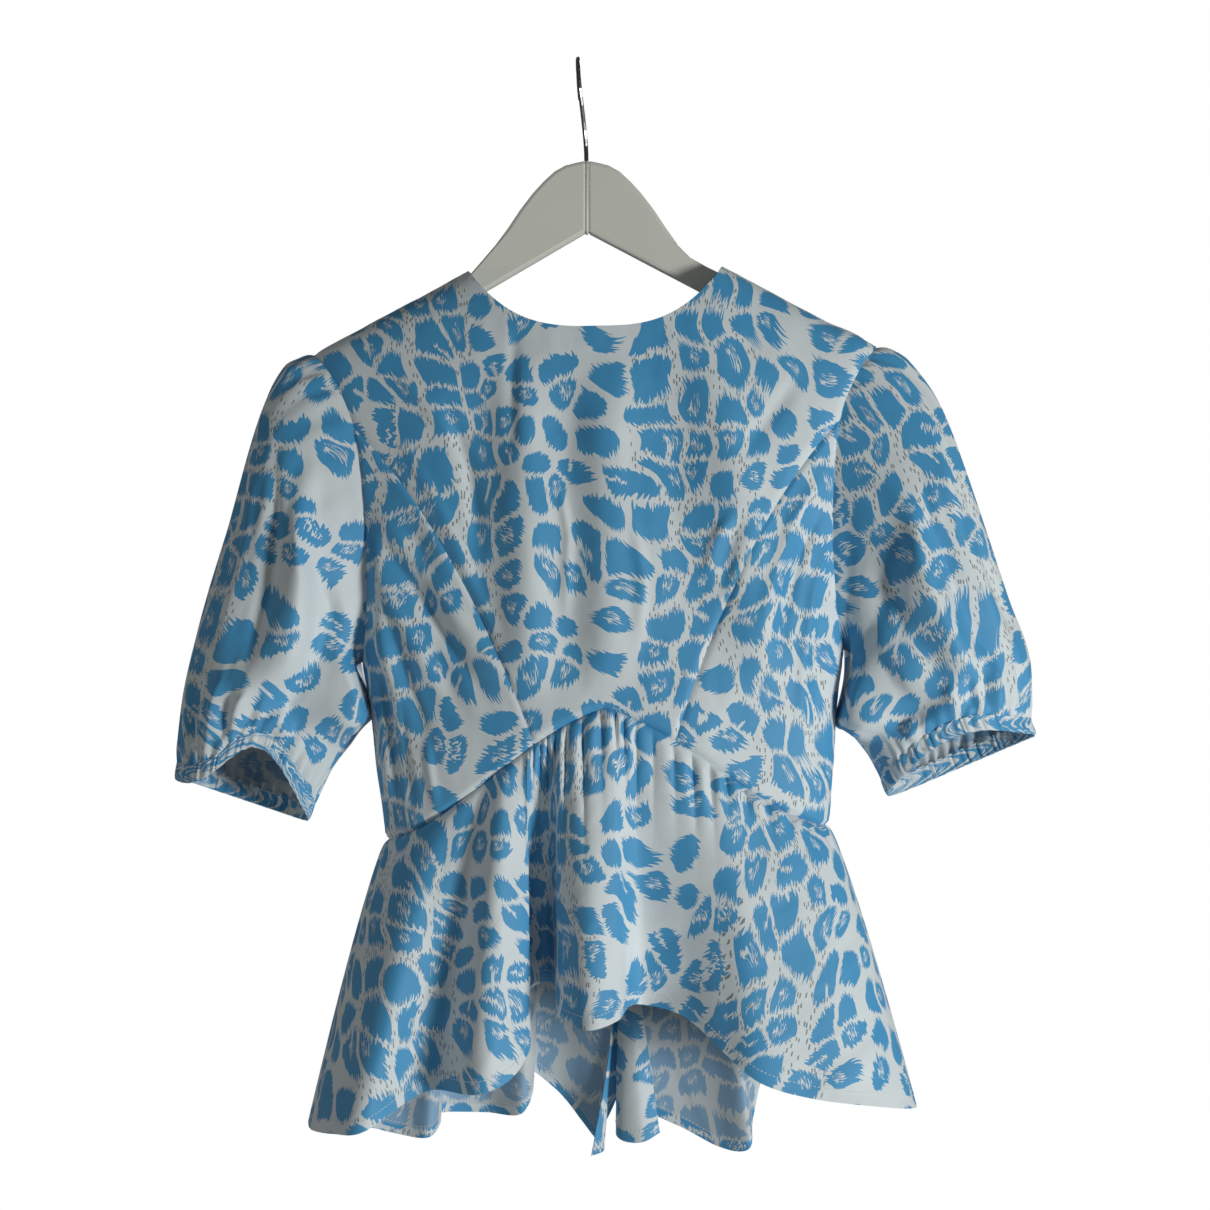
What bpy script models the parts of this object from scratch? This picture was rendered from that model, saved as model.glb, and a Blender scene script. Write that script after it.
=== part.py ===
"""A short-sleeved peplum blouse of thin printed cotton, hung on a wooden hanger with a wire hook.

The blouse is an open shell. A round neck front is cut in a centre panel and two side panels, which
meet at curved seams from the armholes to the waist. The waist seam rises to a point at the centre
front. A gathered peplum hangs from it, split at the centre back. The puff sleeves are gathered into
the armholes and into elastic casings. The back closes with buttons.

Front is -Y, up is +Z, and left and right are as seen from the front. The origin is where a rail
carries the hook.
"""

import math
from collections import namedtuple

import bpy
from mathutils import Vector

MM = 0.001  # every size below is in millimetres

# Cloth
WALL = 1.2
CASING_WALL = 1.8
SEAM_GAP = 0.3
SLANTED_SEAM_GAP = 0.8  # where the walls meet on a slant, so that their edges are still apart

# The line of the garment's middle leans to the right as it falls
MIDDLE_AT_SHOULDER = 12.5
MIDDLE_AT_HEM = 26.5
TILT_AT_SHOULDER = 0.014  # the right side hangs a little higher than the left
TILT_AT_HEM = 0.045
SHOULDER_LEVEL = -210
HEM_LEVEL = -770

# Cross-sections of the body: half width at the sides, and depth in front and behind
Section = namedtuple("Section", "height half_width front back")
BODY = [
    Section(-600, 164, 62, 54),
    Section(-566, 162.5, 62, 53),
    Section(-543, 164.6, 64, 54),
    Section(-514, 168, 67, 56),
    Section(-470, 171.6, 70, 58),
    Section(-437, 176.4, 71, 59),
    Section(-376, 181, 69, 58),
    Section(-342, 184, 66, 56),
    Section(-286, 195, 58, 51),
    Section(-217, 218, 48, 43),
    Section(-153, 236, 38, 34),
    Section(-90, 240, 32, 30),
]
SIDE_ROUNDNESS = 0.8  # power of the cosine that closes a section at its sides

# Shoulders, neck and armholes, as distances from the middle
NECK_POINT = (93.3, -153.5)
SHOULDER_TIP = (206.6, -213.5)
UNDERARM_LEVEL = -437
FRONT_NECK_LEVEL = -199.5
BACK_NECK_LEVEL = -226
NECK_POWER = 3
ARMHOLE_WIDTH = 169  # half the width across the front between the armholes
ARMHOLE_POWER = 5.4
UNDERARM_POWER = 8
SHOULDER_FALL = 64  # how slowly the cloth leaves the shoulder for its full depth
RIDGE_WIDTH = 9  # half the width of the cloth's ridge over the hanger
RIDGE_ROUNDING = 1.2
RIDGE_END = 200  # how far below the shoulder the ridge has died out

# Waist seam and the curved front seams
WAIST_POINT_LEVEL = -472.5
WAIST_SIDE_LEVEL = -566
WAIST_HALF_WIDTH = 162.5
CURVED_SEAM_ON_WAIST = 50  # where the curved seam starts on the waist seam
CURVED_SEAM_HANDLES = [(74, -425), (118, -325)]
CURVED_SEAM_ON_ARMHOLE = 0.244  # share of the way down the armhole
SEAM_SLANT = 0.45  # share of the slanted gap on each side of the curved seam

# Shares of a panel's outline
CENTRE_SEAM_SHARE = 0.78  # of the centre panel's side edge, below the armhole
FRONT_NECK_SHARE = 0.62  # of the centre panel's top edge
BACK_SIDE_SHARE = 0.36  # of a back panel's outer edge, below the armhole
BACK_NECK_SHARE = 0.55  # of a back panel's top edge

# Soft vertical folds of the front and back: a ridge is positive, and lean is how far across it goes
# for each unit that it falls
BodyFold = namedtuple("BodyFold", "across rise half_width top bottom lean")
FRONT_FOLDS = [
    BodyFold(-86, -4, 17, -215, -470, 0),
    BodyFold(-53, 7, 17, -205, -480, 0),
    BodyFold(-21, -4, 17, -215, -470, 0),
    BodyFold(7, 5, 17, -215, -475, -0.02),
    BodyFold(50, -5, 22, -215, -470, 0.1),
    BodyFold(79, 7, 20, -205, -490, 0.163),
]
BACK_FOLDS = [
    BodyFold(-110, 5, 22, -240, -520, 0.05),
    BodyFold(-62, -5, 20, -260, -500, 0.03),
    BodyFold(58, -4, 22, -250, -510, 0),
    BodyFold(108, 5, 20, -240, -500, -0.04),
]
FOLD_END = 60  # height over which a fold rises from nothing

# Centre back opening of the bodice: two stands that overlap, and its buttons
STAND_OVERLAP = 9  # how far each half passes the middle
STAND_STEP = 0.5 * (WALL + SLANTED_SEAM_GAP)
STAND_EASE = 12
BUTTONS = 5
BUTTON_RADIUS = 5.5
BUTTON_THICKNESS = 2.4
BUTTON_RIM = 1.0
BUTTON_DISH = 0.6  # how far its face lies below its rim
BUTTON_FIRST_DROP = 14
BUTTON_LAST_RISE = 20
BUTTON_SHANK = 0.6  # from the cloth to the button's underside
BUTTON_EDGE = 0.5  # how much its edges are rounded

# Peplum: a row for each fold edge, crest and hollow of its hem, and where it starts on the waist seam
Hem = namedtuple("Hem", "waist x y z")
PEPLUM_FRONT = [
    Hem(-162.5, -198.5, 0, -780),
    Hem(-153, -191, -34, -778),
    Hem(-138, -172, -66, -773),
    Hem(-118, -150, -78, -769),
    Hem(-98, -121, -54, -753),
    Hem(-86, -101, -56, -744),
    Hem(-74, -70, -86, -741),
    Hem(-64, -46, -76, -732),
    Hem(-57, -33, -60, -712),
    Hem(-53, -38, -42, -692),
    Hem(-49, -34, -27, -677),
    Hem(-42, -20, -24, -673),
    Hem(-35, -15, -46, -680),
    Hem(-28, -13, -72, -690),
    Hem(-15, 8, -97, -694),
    Hem(4, 29, -86, -689),
    Hem(14, 36, -68, -683),
    Hem(28, 48, -55, -684),
    Hem(50, 76, -61, -691),
    Hem(72, 104, -78, -714),
    Hem(90, 128, -90, -732),
    Hem(114, 164, -84, -744),
    Hem(138, 208, -72, -752),
    Hem(154, 240, -40, -761),
    Hem(162.5, 248.4, 0, -766),
]
PEPLUM_BACK_LEFT = [
    Hem(-162.5, -198.5, 0, -780),
    Hem(-152, -186, 36, -786),
    Hem(-136, -138, 50, -801),
    Hem(-118, -114, 42, -802),
    Hem(-108, -106, 58, -795),
    Hem(-96, -108, 76, -791),
    Hem(-80, -74, 82, -792),
    Hem(-60, -45, 66, -790),
    Hem(-50, -36, 80, -774),
    Hem(-42, -40, 98, -762),
    Hem(-28, -14, 102, -783),
    Hem(-10, 10, 92, -812),
    Hem(-6, 19, 86, -822),
    Hem(-1.5, 9, 82, -826),
]
PEPLUM_BACK_RIGHT = [
    Hem(1.5, 62, 74, -806),
    Hem(4, 48, 68, -812),
    Hem(8, 33, 74, -812),
    Hem(13, 29, 84, -806),
    Hem(22, 44, 96, -795),
    Hem(40, 74, 99, -805),
    Hem(62, 108, 92, -821),
    Hem(76, 131, 80, -820),
    Hem(86, 135, 92, -798),
    Hem(98, 146, 104, -768),
    Hem(116, 174, 100, -766),
    Hem(134, 207, 82, -764),
    Hem(152, 240, 44, -768),
    Hem(162.5, 248.4, 0, -766),
]
FRONT_GATHERS = 36
BACK_GATHERS = 18
GATHER_RISE = 1.9
GATHER_REACH = 0.10  # share of the peplum's length where its gathers stand highest
GATHER_FADE = 1.5  # how many gathers fade out at a piece's ends
PEPLUM_DROP = 0.56  # from the bodice's edge to the peplum's
FLARE_POWER = 0.85
BACK_EDGE_BOW = 13  # how far the left back's centre edge bows across at half its length
BACK_EDGE_WIDTH = 0.12  # share of the piece that bows with it

# Sleeves: a row for each ring from armhole to casing, through its outer and inner point
Ring = namedtuple("Ring", "along outer_x outer_z inner_x inner_z depth lift drop")
SLEEVE_LEFT = [
    Ring(0.00, -194.8, -218.0, -152.1, -441.7, 27, 0, 0),
    Ring(0.06, -205.0, -221.5, -157.4, -443.8, 31, 0, 0),
    Ring(0.12, -215.7, -226.5, -158.5, -447.0, 36, 0, 0),
    Ring(0.25, -228.7, -249.0, -158.0, -455.0, 45, 1, 0),
    Ring(0.40, -243.2, -294.5, -155.8, -468.0, 52, 3, 0),
    Ring(0.55, -258.7, -350.0, -156.5, -482.0, 54, 7, 1),
    Ring(0.70, -274.9, -405.0, -166.5, -499.5, 53, 16, 2),
    Ring(0.85, -288.7, -458.5, -180.5, -520.0, 50, 30, 4),
    Ring(0.96, -293.5, -501.5, -191.0, -539.5, 47, 42, 6),
    Ring(1.00, -293.0, -516.0, -195.5, -548.5, 44, 46, 6),
    Ring(1.06, -294.5, -526.8, -199.5, -559.0, 43, 47, 6),
]
SLEEVE_RIGHT = [
    Ring(0.00, 219.0, -211.0, 197.0, -432.4, 27, 0, 0),
    Ring(0.06, 230.5, -214.5, 201.8, -435.4, 31, 0, 0),
    Ring(0.12, 243.2, -222.5, 200.0, -443.5, 36, 0, 0),
    Ring(0.25, 264.4, -249.5, 196.0, -459.0, 45, 1, 0),
    Ring(0.40, 282.2, -292.7, 193.6, -473.5, 52, 2, 0),
    Ring(0.55, 299.7, -343.7, 195.2, -487.0, 54, 5, 1),
    Ring(0.70, 316.7, -395.2, 203.5, -500.5, 53, 11, 2),
    Ring(0.85, 331.2, -436.6, 214.5, -515.5, 50, 20, 4),
    Ring(0.96, 332.5, -473.3, 222.0, -527.0, 47, 27, 6),
    Ring(1.00, 331.5, -486.4, 224.5, -532.0, 44, 29, 6),
    Ring(1.06, 335.0, -496.6, 228.6, -542.0, 43, 30, 6),
]
LIFT_LEFT = (113, 42)  # angle at which the front of the cuff is lifted most, and how widely
LIFT_RIGHT = (102, 58)
SLEEVE_GATHERS = 22
SLEEVE_GATHER_RISE = 2.0
CASING_GATHERS = 30
CASING_GATHER_RISE = 0.7
HEAD_FADE = 0.3  # share of the sleeve over which the armhole's shape dies out
HEAD_REACH = 0.06  # and where the gathers at its head stand highest
CUFF_REACH = 0.07  # and over which the gathers at its cuff die out
FOLD_START_FADE = 0.2
FOLD_END_FADE = 0.15
SLEEVE_START = 0.011
CASING_START = 0.015
# Deep folds down a sleeve: the angle is from the top over the front, and the rise is outward
SleeveFold = namedtuple("SleeveFold", "angle rise half_angle start end")
SLEEVE_FOLDS_LEFT = [
    SleeveFold(118, -11, 17, 0.15, 0.95),
    SleeveFold(90, 6, 18, 0.15, 0.95),
    SleeveFold(152, 11, 15, 0.25, 0.8),
    SleeveFold(35, -4, 16, 0.35, 1.0),
    SleeveFold(232, -8, 22, 0.2, 0.95),
    SleeveFold(300, -5, 20, 0.3, 1.0),
]
SLEEVE_FOLDS_RIGHT = [
    SleeveFold(118, -9, 18, 0.15, 0.95),
    SleeveFold(90, 5, 18, 0.2, 0.95),
    SleeveFold(152, 11, 15, 0.25, 0.8),
    SleeveFold(48, -5, 16, 0.3, 1.0),
    SleeveFold(228, -8, 22, 0.2, 0.95),
    SleeveFold(305, -5, 20, 0.3, 1.0),
]

# Hanger and hook
HANGER_MIDDLE = 6.6
HANGER_THICKNESS = 12
HANGER_HALF_WIDTH = 210
HANGER_TOP = -73.5
# Top edge beside the hook
HANGER_ARCH = [(20, -79), (36, -93.3), (49.5, -110.3), (62, -129), (74, -143.5)]
HANGER_UNDER_PEAK = -125.7
HANGER_ARM_HEIGHT = 22
HANGER_CLEARANCE = 4.8  # from the shoulder line down to the wood
HANGER_EDGE = 2.5
HOOK_WIRE = 3.2
HOOK_RADIUS = 19
HOOK_FOOT = 0.5  # how far left of the hanger's middle it is let in
HOOK_LEAN = 6.1  # and how far left of its foot its top lies
HOOK_STEM_SHARE = 0.34  # of the wire's points, below the loop
HOOK_STRAIGHT = 0.15  # share of the stem before it bends
HOOK_TIP_ANGLE = 20  # how far the tip turns below the level of the loop's centre


def clear_scene():
    for thing in list(bpy.data.objects):
        bpy.data.objects.remove(thing)


def material(name, colour, roughness, metallic=0.0):
    made = bpy.data.materials.new(name)
    made.use_nodes = True
    surface = made.node_tree.nodes["Principled BSDF"]
    surface.inputs["Base Color"].default_value = (*colour, 1.0)
    surface.inputs["Roughness"].default_value = roughness
    surface.inputs["Metallic"].default_value = metallic
    made.diffuse_color = (*colour, 1.0)
    return made


def smooth_table(rows, keys, at):
    """The row at a key between the table's own, on a cubic through every row."""
    last = len(rows) - 1
    at = min(max(at, keys[0]), keys[last])
    i = 0
    while i < last - 1 and at > keys[i + 1]:
        i += 1
    span = keys[i + 1] - keys[i]
    t = (at - keys[i]) / span

    def slope(k, column):
        low, high = max(k - 1, 0), min(k + 1, last)
        return (rows[high][column] - rows[low][column]) / (keys[high] - keys[low])

    found = []
    for column in range(len(rows[0])):
        start, end = rows[i][column], rows[i + 1][column]
        value = (2 * t**3 - 3 * t**2 + 1) * start + (3 * t**2 - 2 * t**3) * end
        value += (t**3 - 2 * t**2 + t) * span * slope(i, column)
        value += (t**3 - t**2) * span * slope(i + 1, column)
        found.append(value)
    return found


def smooth_step(t):
    t = min(max(t, 0.0), 1.0)
    return t * t * (3 - 2 * t)


# The body's surface


def fallen(z):
    """How far down the garment a height lies, from 0 at the shoulders to 1 at the hem."""
    return min(max((SHOULDER_LEVEL - z) / (SHOULDER_LEVEL - HEM_LEVEL), 0), 1)


def middle(z):
    return MIDDLE_AT_SHOULDER + (MIDDLE_AT_HEM - MIDDLE_AT_SHOULDER) * fallen(z)


def tilt(z):
    return TILT_AT_SHOULDER + (TILT_AT_HEM - TILT_AT_SHOULDER) * fallen(z)


def body_section(z):
    return Section(*smooth_table(BODY, [row.height for row in BODY], z))


def shoulder_height(across):
    share = (abs(across) - NECK_POINT[0]) / (SHOULDER_TIP[0] - NECK_POINT[0])
    return NECK_POINT[1] + (SHOULDER_TIP[1] - NECK_POINT[1]) * share


def fold_rise(folds, across, z):
    rise = 0.0
    for fold in folds:
        inside = smooth_step((fold.top - z) / FOLD_END) * smooth_step((z - fold.bottom) / FOLD_END)
        away = across - fold.across - fold.lean * (fold.top - z)
        rise += fold.rise * inside * math.exp(-((away / fold.half_width) ** 2))
    return rise


def body_point(across, z, front):
    """The point of the front or back at a distance from the middle, at a height."""
    section = body_section(z)
    share = min(abs(across) / section.half_width, 1.0)
    closing = (1 - share * share) ** (SIDE_ROUNDNESS / 2)
    drop = max(shoulder_height(across) - z, 0.0)
    depth = (section.front if front else section.back) * closing
    depth += fold_rise(FRONT_FOLDS if front else BACK_FOLDS, across, z) * closing
    depth *= math.tanh(math.sqrt(drop / SHOULDER_FALL))
    ridge = RIDGE_WIDTH * (1 - math.exp(-math.sqrt(drop / RIDGE_ROUNDING)))
    depth += ridge * max(0.0, 1 - drop / RIDGE_END) ** 2 + SLANTED_SEAM_GAP / 2
    return Vector((middle(z) + across, -depth if front else depth, z + tilt(z) * across))


def angle_of(across, z):
    """Where a point lies round its section: 0 at the middle and 1 at the side."""
    share = across / body_section(z).half_width
    return math.asin(min(max(share, -1.0), 1.0)) * 2 / math.pi


# The seam lines, as a distance from the middle and a height


def neck_line(t, level):
    return NECK_POINT[0] * t, level + (NECK_POINT[1] - level) * abs(t) ** NECK_POWER


def shoulder_line(t):
    across = NECK_POINT[0] + (SHOULDER_TIP[0] - NECK_POINT[0]) * t
    return across, shoulder_height(across)


def armhole_line(t):
    """From the shoulder tip down to the underarm."""
    across = ARMHOLE_WIDTH + (SHOULDER_TIP[0] - ARMHOLE_WIDTH) * (1 - t) ** ARMHOLE_POWER
    underarm = body_section(UNDERARM_LEVEL).half_width
    across += (underarm - ARMHOLE_WIDTH) * t**UNDERARM_POWER
    return across, SHOULDER_TIP[1] + (UNDERARM_LEVEL - SHOULDER_TIP[1]) * t


def waist_line(across):
    t = abs(across) / WAIST_HALF_WIDTH
    fall = (t + (1 - math.cos(math.pi * t)) / 2) / 2
    return WAIST_POINT_LEVEL + (WAIST_SIDE_LEVEL - WAIST_POINT_LEVEL) * fall


def curved_seam(t):
    """From the waist seam up to the armhole."""
    start = (CURVED_SEAM_ON_WAIST, waist_line(CURVED_SEAM_ON_WAIST))
    points = [start, *CURVED_SEAM_HANDLES, armhole_line(CURVED_SEAM_ON_ARMHOLE)]
    weights = [(1 - t) ** 3, 3 * t * (1 - t) ** 2, 3 * t * t * (1 - t), t**3]
    return tuple(sum(w * p[k] for w, p in zip(weights, points)) for k in (0, 1))


def side_line(t):
    z = WAIST_SIDE_LEVEL + (UNDERARM_LEVEL - WAIST_SIDE_LEVEL) * t
    return body_section(z).half_width, z


def flipped(line, backwards=False):
    """The same line on the other side of the middle."""

    def other(t):
        across, z = line(1 - t if backwards else t)
        return -across, z

    return other


def mirrored(bottom, top, start, end):
    """The edges of the same panel on the other side of the middle."""
    return flipped(bottom, True), flipped(top, True), flipped(end), flipped(start)


# Meshes


def patch(bottom, top, start, end):
    """A four-sided patch between seam lines, as a place round the section and a height."""

    def place(line, t):
        across, z = line(t)
        return Vector((angle_of(across, z), z))

    corners = [place(bottom, 0), place(bottom, 1), place(top, 0), place(top, 1)]

    def point(u, v):
        edges = (1 - v) * place(bottom, u) + v * place(top, u)
        edges += (1 - u) * place(start, v) + u * place(end, v)
        mean = (1 - v) * ((1 - u) * corners[0] + u * corners[1])
        mean += v * ((1 - u) * corners[2] + u * corners[3])
        return edges - mean

    return point


def sheet(name, finish, point, columns, rows, wall=WALL, tube=False):
    """A wall of cloth over a grid of points. point(u, v) is in millimetres."""
    across = columns[:-1] if tube else columns
    verts = [point(u, v) * MM for v in rows for u in across]
    wide = len(across)
    faces = []
    for row in range(len(rows) - 1):
        for column in range(len(columns) - 1):
            a = row * wide + column
            b = row * wide + (column + 1) % wide
            faces.append((a, b, b + wide, a + wide))
    mesh = bpy.data.meshes.new(name)
    mesh.from_pydata(verts, [], faces)
    made = bpy.data.objects.new(name, mesh)
    blouse.objects.link(made)
    made.data.materials.append(finish)
    solidify = made.modifiers.new("Wall", "SOLIDIFY")
    solidify.thickness = wall * MM
    solidify.offset = 0
    mesh.shade_smooth()
    return made


def even(count):
    return [i / count for i in range(count + 1)]


def body_sheet(name, edges, columns, rows, front, shift=0.0, step=None):
    """A panel of the bodice between its seam lines."""
    place = patch(*edges)

    def point(u, v):
        angle, z = place(u, v)
        across = body_section(z).half_width * math.sin(angle * math.pi / 2)
        found = body_point(across, z, front)
        if step:
            found.y += step(across)
        return found + Vector((0, 0, shift * (1 - v)))

    return sheet(name, cotton, point, columns, rows)


def finer_at_top(count):
    """Rows that close up towards the shoulder, where the cloth bends over the hanger."""
    return [1 - (1 - t) ** 1.7 for t in even(count)]


def front_panels():
    half_gap = SLANTED_SEAM_GAP * SEAM_SLANT
    up = SLANTED_SEAM_GAP / 2
    share = CENTRE_SEAM_SHARE
    neck = FRONT_NECK_SHARE

    def edge(t):
        if t <= share:
            across, z = curved_seam(t / share)
            return across - half_gap, z
        return armhole_line(CURVED_SEAM_ON_ARMHOLE * (1 - (t - share) / (1 - share)))

    def top(t):
        across = 2 * t - 1
        if abs(across) <= neck:
            return neck_line(across / neck, FRONT_NECK_LEVEL)
        found, z = shoulder_line((abs(across) - neck) / (1 - neck))
        return math.copysign(found, across), z

    def bottom(t):
        across = (2 * t - 1) * edge(0)[0]
        return across, waist_line(across)

    rows = [t * share for t in even(9)] + [0.84, 0.89, 0.94, 0.97, 0.99, 1.0]
    out = [0.13, 0.27, 0.4, 0.5, 0.565, 0.6, 0.613, neck, 0.72, 0.86, 1]
    columns = [0.5 - c / 2 for c in reversed(out)] + [0.5] + [0.5 + c / 2 for c in out]
    body_sheet("front_centre", (bottom, top, flipped(edge), edge), columns, rows, True, up)

    def inner(t):
        across, z = curved_seam(t)
        return across + half_gap, z

    def side_bottom(t):
        across = inner(0)[0] + (WAIST_HALF_WIDTH - inner(0)[0]) * t
        return across, waist_line(across)

    def side_top(t):
        return armhole_line(CURVED_SEAM_ON_ARMHOLE + (1 - CURVED_SEAM_ON_ARMHOLE) * t)

    edges = (side_bottom, side_top, inner, side_line)
    body_sheet("front_side_right", edges, even(8), even(9), True, up)
    body_sheet("front_side_left", mirrored(*edges), even(8), even(9), True, up)


def stand_step(across, outer):
    """Where the two halves of the back overlap, one lies over the other."""
    share = 1 - smooth_step((abs(across) - STAND_OVERLAP) / STAND_EASE)
    return STAND_STEP * share * (1 if outer else -1)


def back_panels():
    share = BACK_SIDE_SHARE
    neck = BACK_NECK_SHARE

    def centre(t):
        _, high = neck_line(STAND_OVERLAP / NECK_POINT[0], BACK_NECK_LEVEL)
        return -STAND_OVERLAP, WAIST_SIDE_LEVEL + (high - WAIST_SIDE_LEVEL) * t

    def outer(t):
        if t <= share:
            return side_line(t / share)
        return armhole_line(1 - (t - share) / (1 - share))

    def top(t):
        start = -STAND_OVERLAP / NECK_POINT[0]
        if t <= neck:
            return neck_line(start + (1 - start) * t / neck, BACK_NECK_LEVEL)
        return shoulder_line((t - neck) / (1 - neck))

    def bottom(t):
        return -STAND_OVERLAP + (WAIST_HALF_WIDTH + STAND_OVERLAP) * t, WAIST_SIDE_LEVEL

    stand = STAND_OVERLAP / (WAIST_HALF_WIDTH + STAND_OVERLAP)
    columns = [0, stand, 2 * stand, 0.18, 0.26, 0.35, 0.44, 0.51, 0.538, neck]
    columns += [0.65, 0.75, 0.85, 0.94, 1.0]
    rows = finer_at_top(13)
    up = SLANTED_SEAM_GAP / 2
    edges = (bottom, top, centre, outer)
    body_sheet("back_right", edges, columns, rows, False, up, lambda across: stand_step(across, False))
    columns = [1 - c for c in reversed(columns)]
    body_sheet(
        "back_left", mirrored(*edges), columns, rows, False, up, lambda across: stand_step(across, True)
    )


def button_spots():
    _, top = neck_line(0, BACK_NECK_LEVEL)
    first, last = top - BUTTON_FIRST_DROP, WAIST_SIDE_LEVEL + BUTTON_LAST_RISE
    return [first + (last - first) * i / (BUTTONS - 1) for i in range(BUTTONS)]


def buttons():
    """Flat buttons with a raised rim, each turned and set square to the cloth under it."""
    half = BUTTON_THICKNESS / 2
    profile = [
        (0, -half),
        (BUTTON_RADIUS - BUTTON_EDGE, -half),
        (BUTTON_RADIUS, -half + BUTTON_EDGE),
        (BUTTON_RADIUS, half - BUTTON_EDGE),
        (BUTTON_RADIUS - BUTTON_EDGE, half),
        (BUTTON_RADIUS - BUTTON_RIM, half),
        (BUTTON_RADIUS - BUTTON_RIM - BUTTON_EDGE, half - BUTTON_DISH),
        (0, half - BUTTON_DISH),
    ]
    for number, z in enumerate(button_spots(), 1):
        name = f"button_{number}"
        mesh = bpy.data.meshes.new(name)
        steps = [(i, i + 1) for i in range(len(profile) - 1)]
        mesh.from_pydata([(x * MM, 0, up * MM) for x, up in reversed(profile)], steps, [])
        made = bpy.data.objects.new(name, mesh)
        blouse.objects.link(made)
        mesh.materials.append(shell_button)
        turn = made.modifiers.new("Turn", "SCREW")
        turn.steps = turn.render_steps = 16
        turn.use_merge_vertices = True
        turn.merge_threshold = 0.00001
        turn.use_smooth_shade = False
        below, here, above = (body_point(0, z + d, False) for d in (-4, 0, 4))
        right = body_point(4, z, False) - here
        outward = (above - below).cross(right).normalized()
        if outward.y < 0:
            outward.negate()
        stand_off = STAND_STEP + WALL / 2 + BUTTON_SHANK + half
        made.location = (here + outward * stand_off) * MM
        made.rotation_euler = outward.to_track_quat("Z", "Y").to_euler()


def waist_point(across, front):
    z = waist_line(across) if front else WAIST_SIDE_LEVEL
    return body_point(across, z, front)


def peplum_sheet(name, hem, gathers, front, bow=0.0):
    """A gathered skirt panel, from its waist seam to the folds of its hem."""
    keys = [i / (len(hem) - 1) for i in range(len(hem))]

    def point(u, v):
        waist, x, y, z = smooth_table(hem, keys, u)
        waist = min(max(waist, -WAIST_HALF_WIDTH), WAIST_HALF_WIDTH)
        start = waist_point(waist, front) - Vector((0, 0, PEPLUM_DROP))
        end = Vector((x, y, z))
        if abs(y) < SLANTED_SEAM_GAP:
            end.y = math.copysign(SLANTED_SEAM_GAP / 2, start.y)
        found = start.lerp(end, v)
        flare = v**FLARE_POWER - v
        found.x += (end.x - start.x) * flare
        found.y += (end.y - start.y) * flare
        found.x += bow * math.sin(math.pi * v) * math.exp(-(1 - u) / BACK_EDGE_WIDTH)
        beside = waist_point(min(max(waist + 1, -WAIST_HALF_WIDTH + 2), WAIST_HALF_WIDTH), front)
        behind = waist_point(max(min(waist - 1, WAIST_HALF_WIDTH - 2), -WAIST_HALF_WIDTH), front)
        along = beside - behind
        outward = Vector((along.y, -along.x, 0)).normalized() * (1 if front else -1)
        reach = v / GATHER_REACH * math.exp(1 - v / GATHER_REACH)
        end_fade = smooth_step(min(u, 1 - u) * gathers / GATHER_FADE)
        rise = GATHER_RISE * reach * math.cos(2 * math.pi * gathers * u) * end_fade
        return found + outward * rise

    rows = [0, 0.035, 0.09, 0.17, 0.29, 0.45, 0.63, 0.82, 1.0]
    return sheet(name, cotton, point, even(2 * gathers), rows)


def armhole_loop(turn, side):
    """A point of the armhole. turn goes from the shoulder tip over the front to the underarm."""
    down = (1 - math.cos(turn)) / 2
    across, z = armhole_line(down)
    return body_point(side * across, z, math.sin(turn) >= 0)


def sleeve_point(side, turn, along, folds, gathers, rise):
    """A point of a sleeve. turn goes from its top over the front, and along from armhole to cuff."""
    rings, lift = (SLEEVE_LEFT, LIFT_LEFT) if side < 0 else (SLEEVE_RIGHT, LIFT_RIGHT)
    keys = [row.along for row in rings]
    degrees = math.degrees(turn)

    def ring_point(at):
        ring = Ring(*smooth_table(rings, keys, at))
        outer = Vector((ring.outer_x, 0, ring.outer_z))
        inner = Vector((ring.inner_x, 0, ring.inner_z))
        centre = (outer + inner) / 2
        found = centre + (outer - inner) / 2 * math.cos(turn)
        found.y -= ring.depth * math.sin(turn)
        found.z += ring.lift * math.exp(-(((degrees - lift[0]) / lift[1]) ** 2))
        found.z += ring.drop * min(math.sin(turn), 0)
        return found, centre

    found, centre = ring_point(along)
    if along < HEAD_FADE:
        start, _ = ring_point(0)
        found += (armhole_loop(turn, side) - start) * (1 - smooth_step(along / HEAD_FADE))
    outward = (found - centre).normalized()
    for fold in folds:
        length = smooth_step((along - fold.start) / FOLD_START_FADE)
        length *= smooth_step((fold.end - along) / FOLD_END_FADE)
        away = (degrees - fold.angle) / fold.half_angle
        found += outward * fold.rise * length * math.exp(-away * away)
    head = along / HEAD_REACH * math.exp(1 - along / HEAD_REACH) * max(0.0, math.cos(turn)) ** 2
    cuff = math.exp(-max(1 - along, 0) / CUFF_REACH)
    return found + outward * rise * math.cos(gathers * turn) * max(head, cuff)


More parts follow.
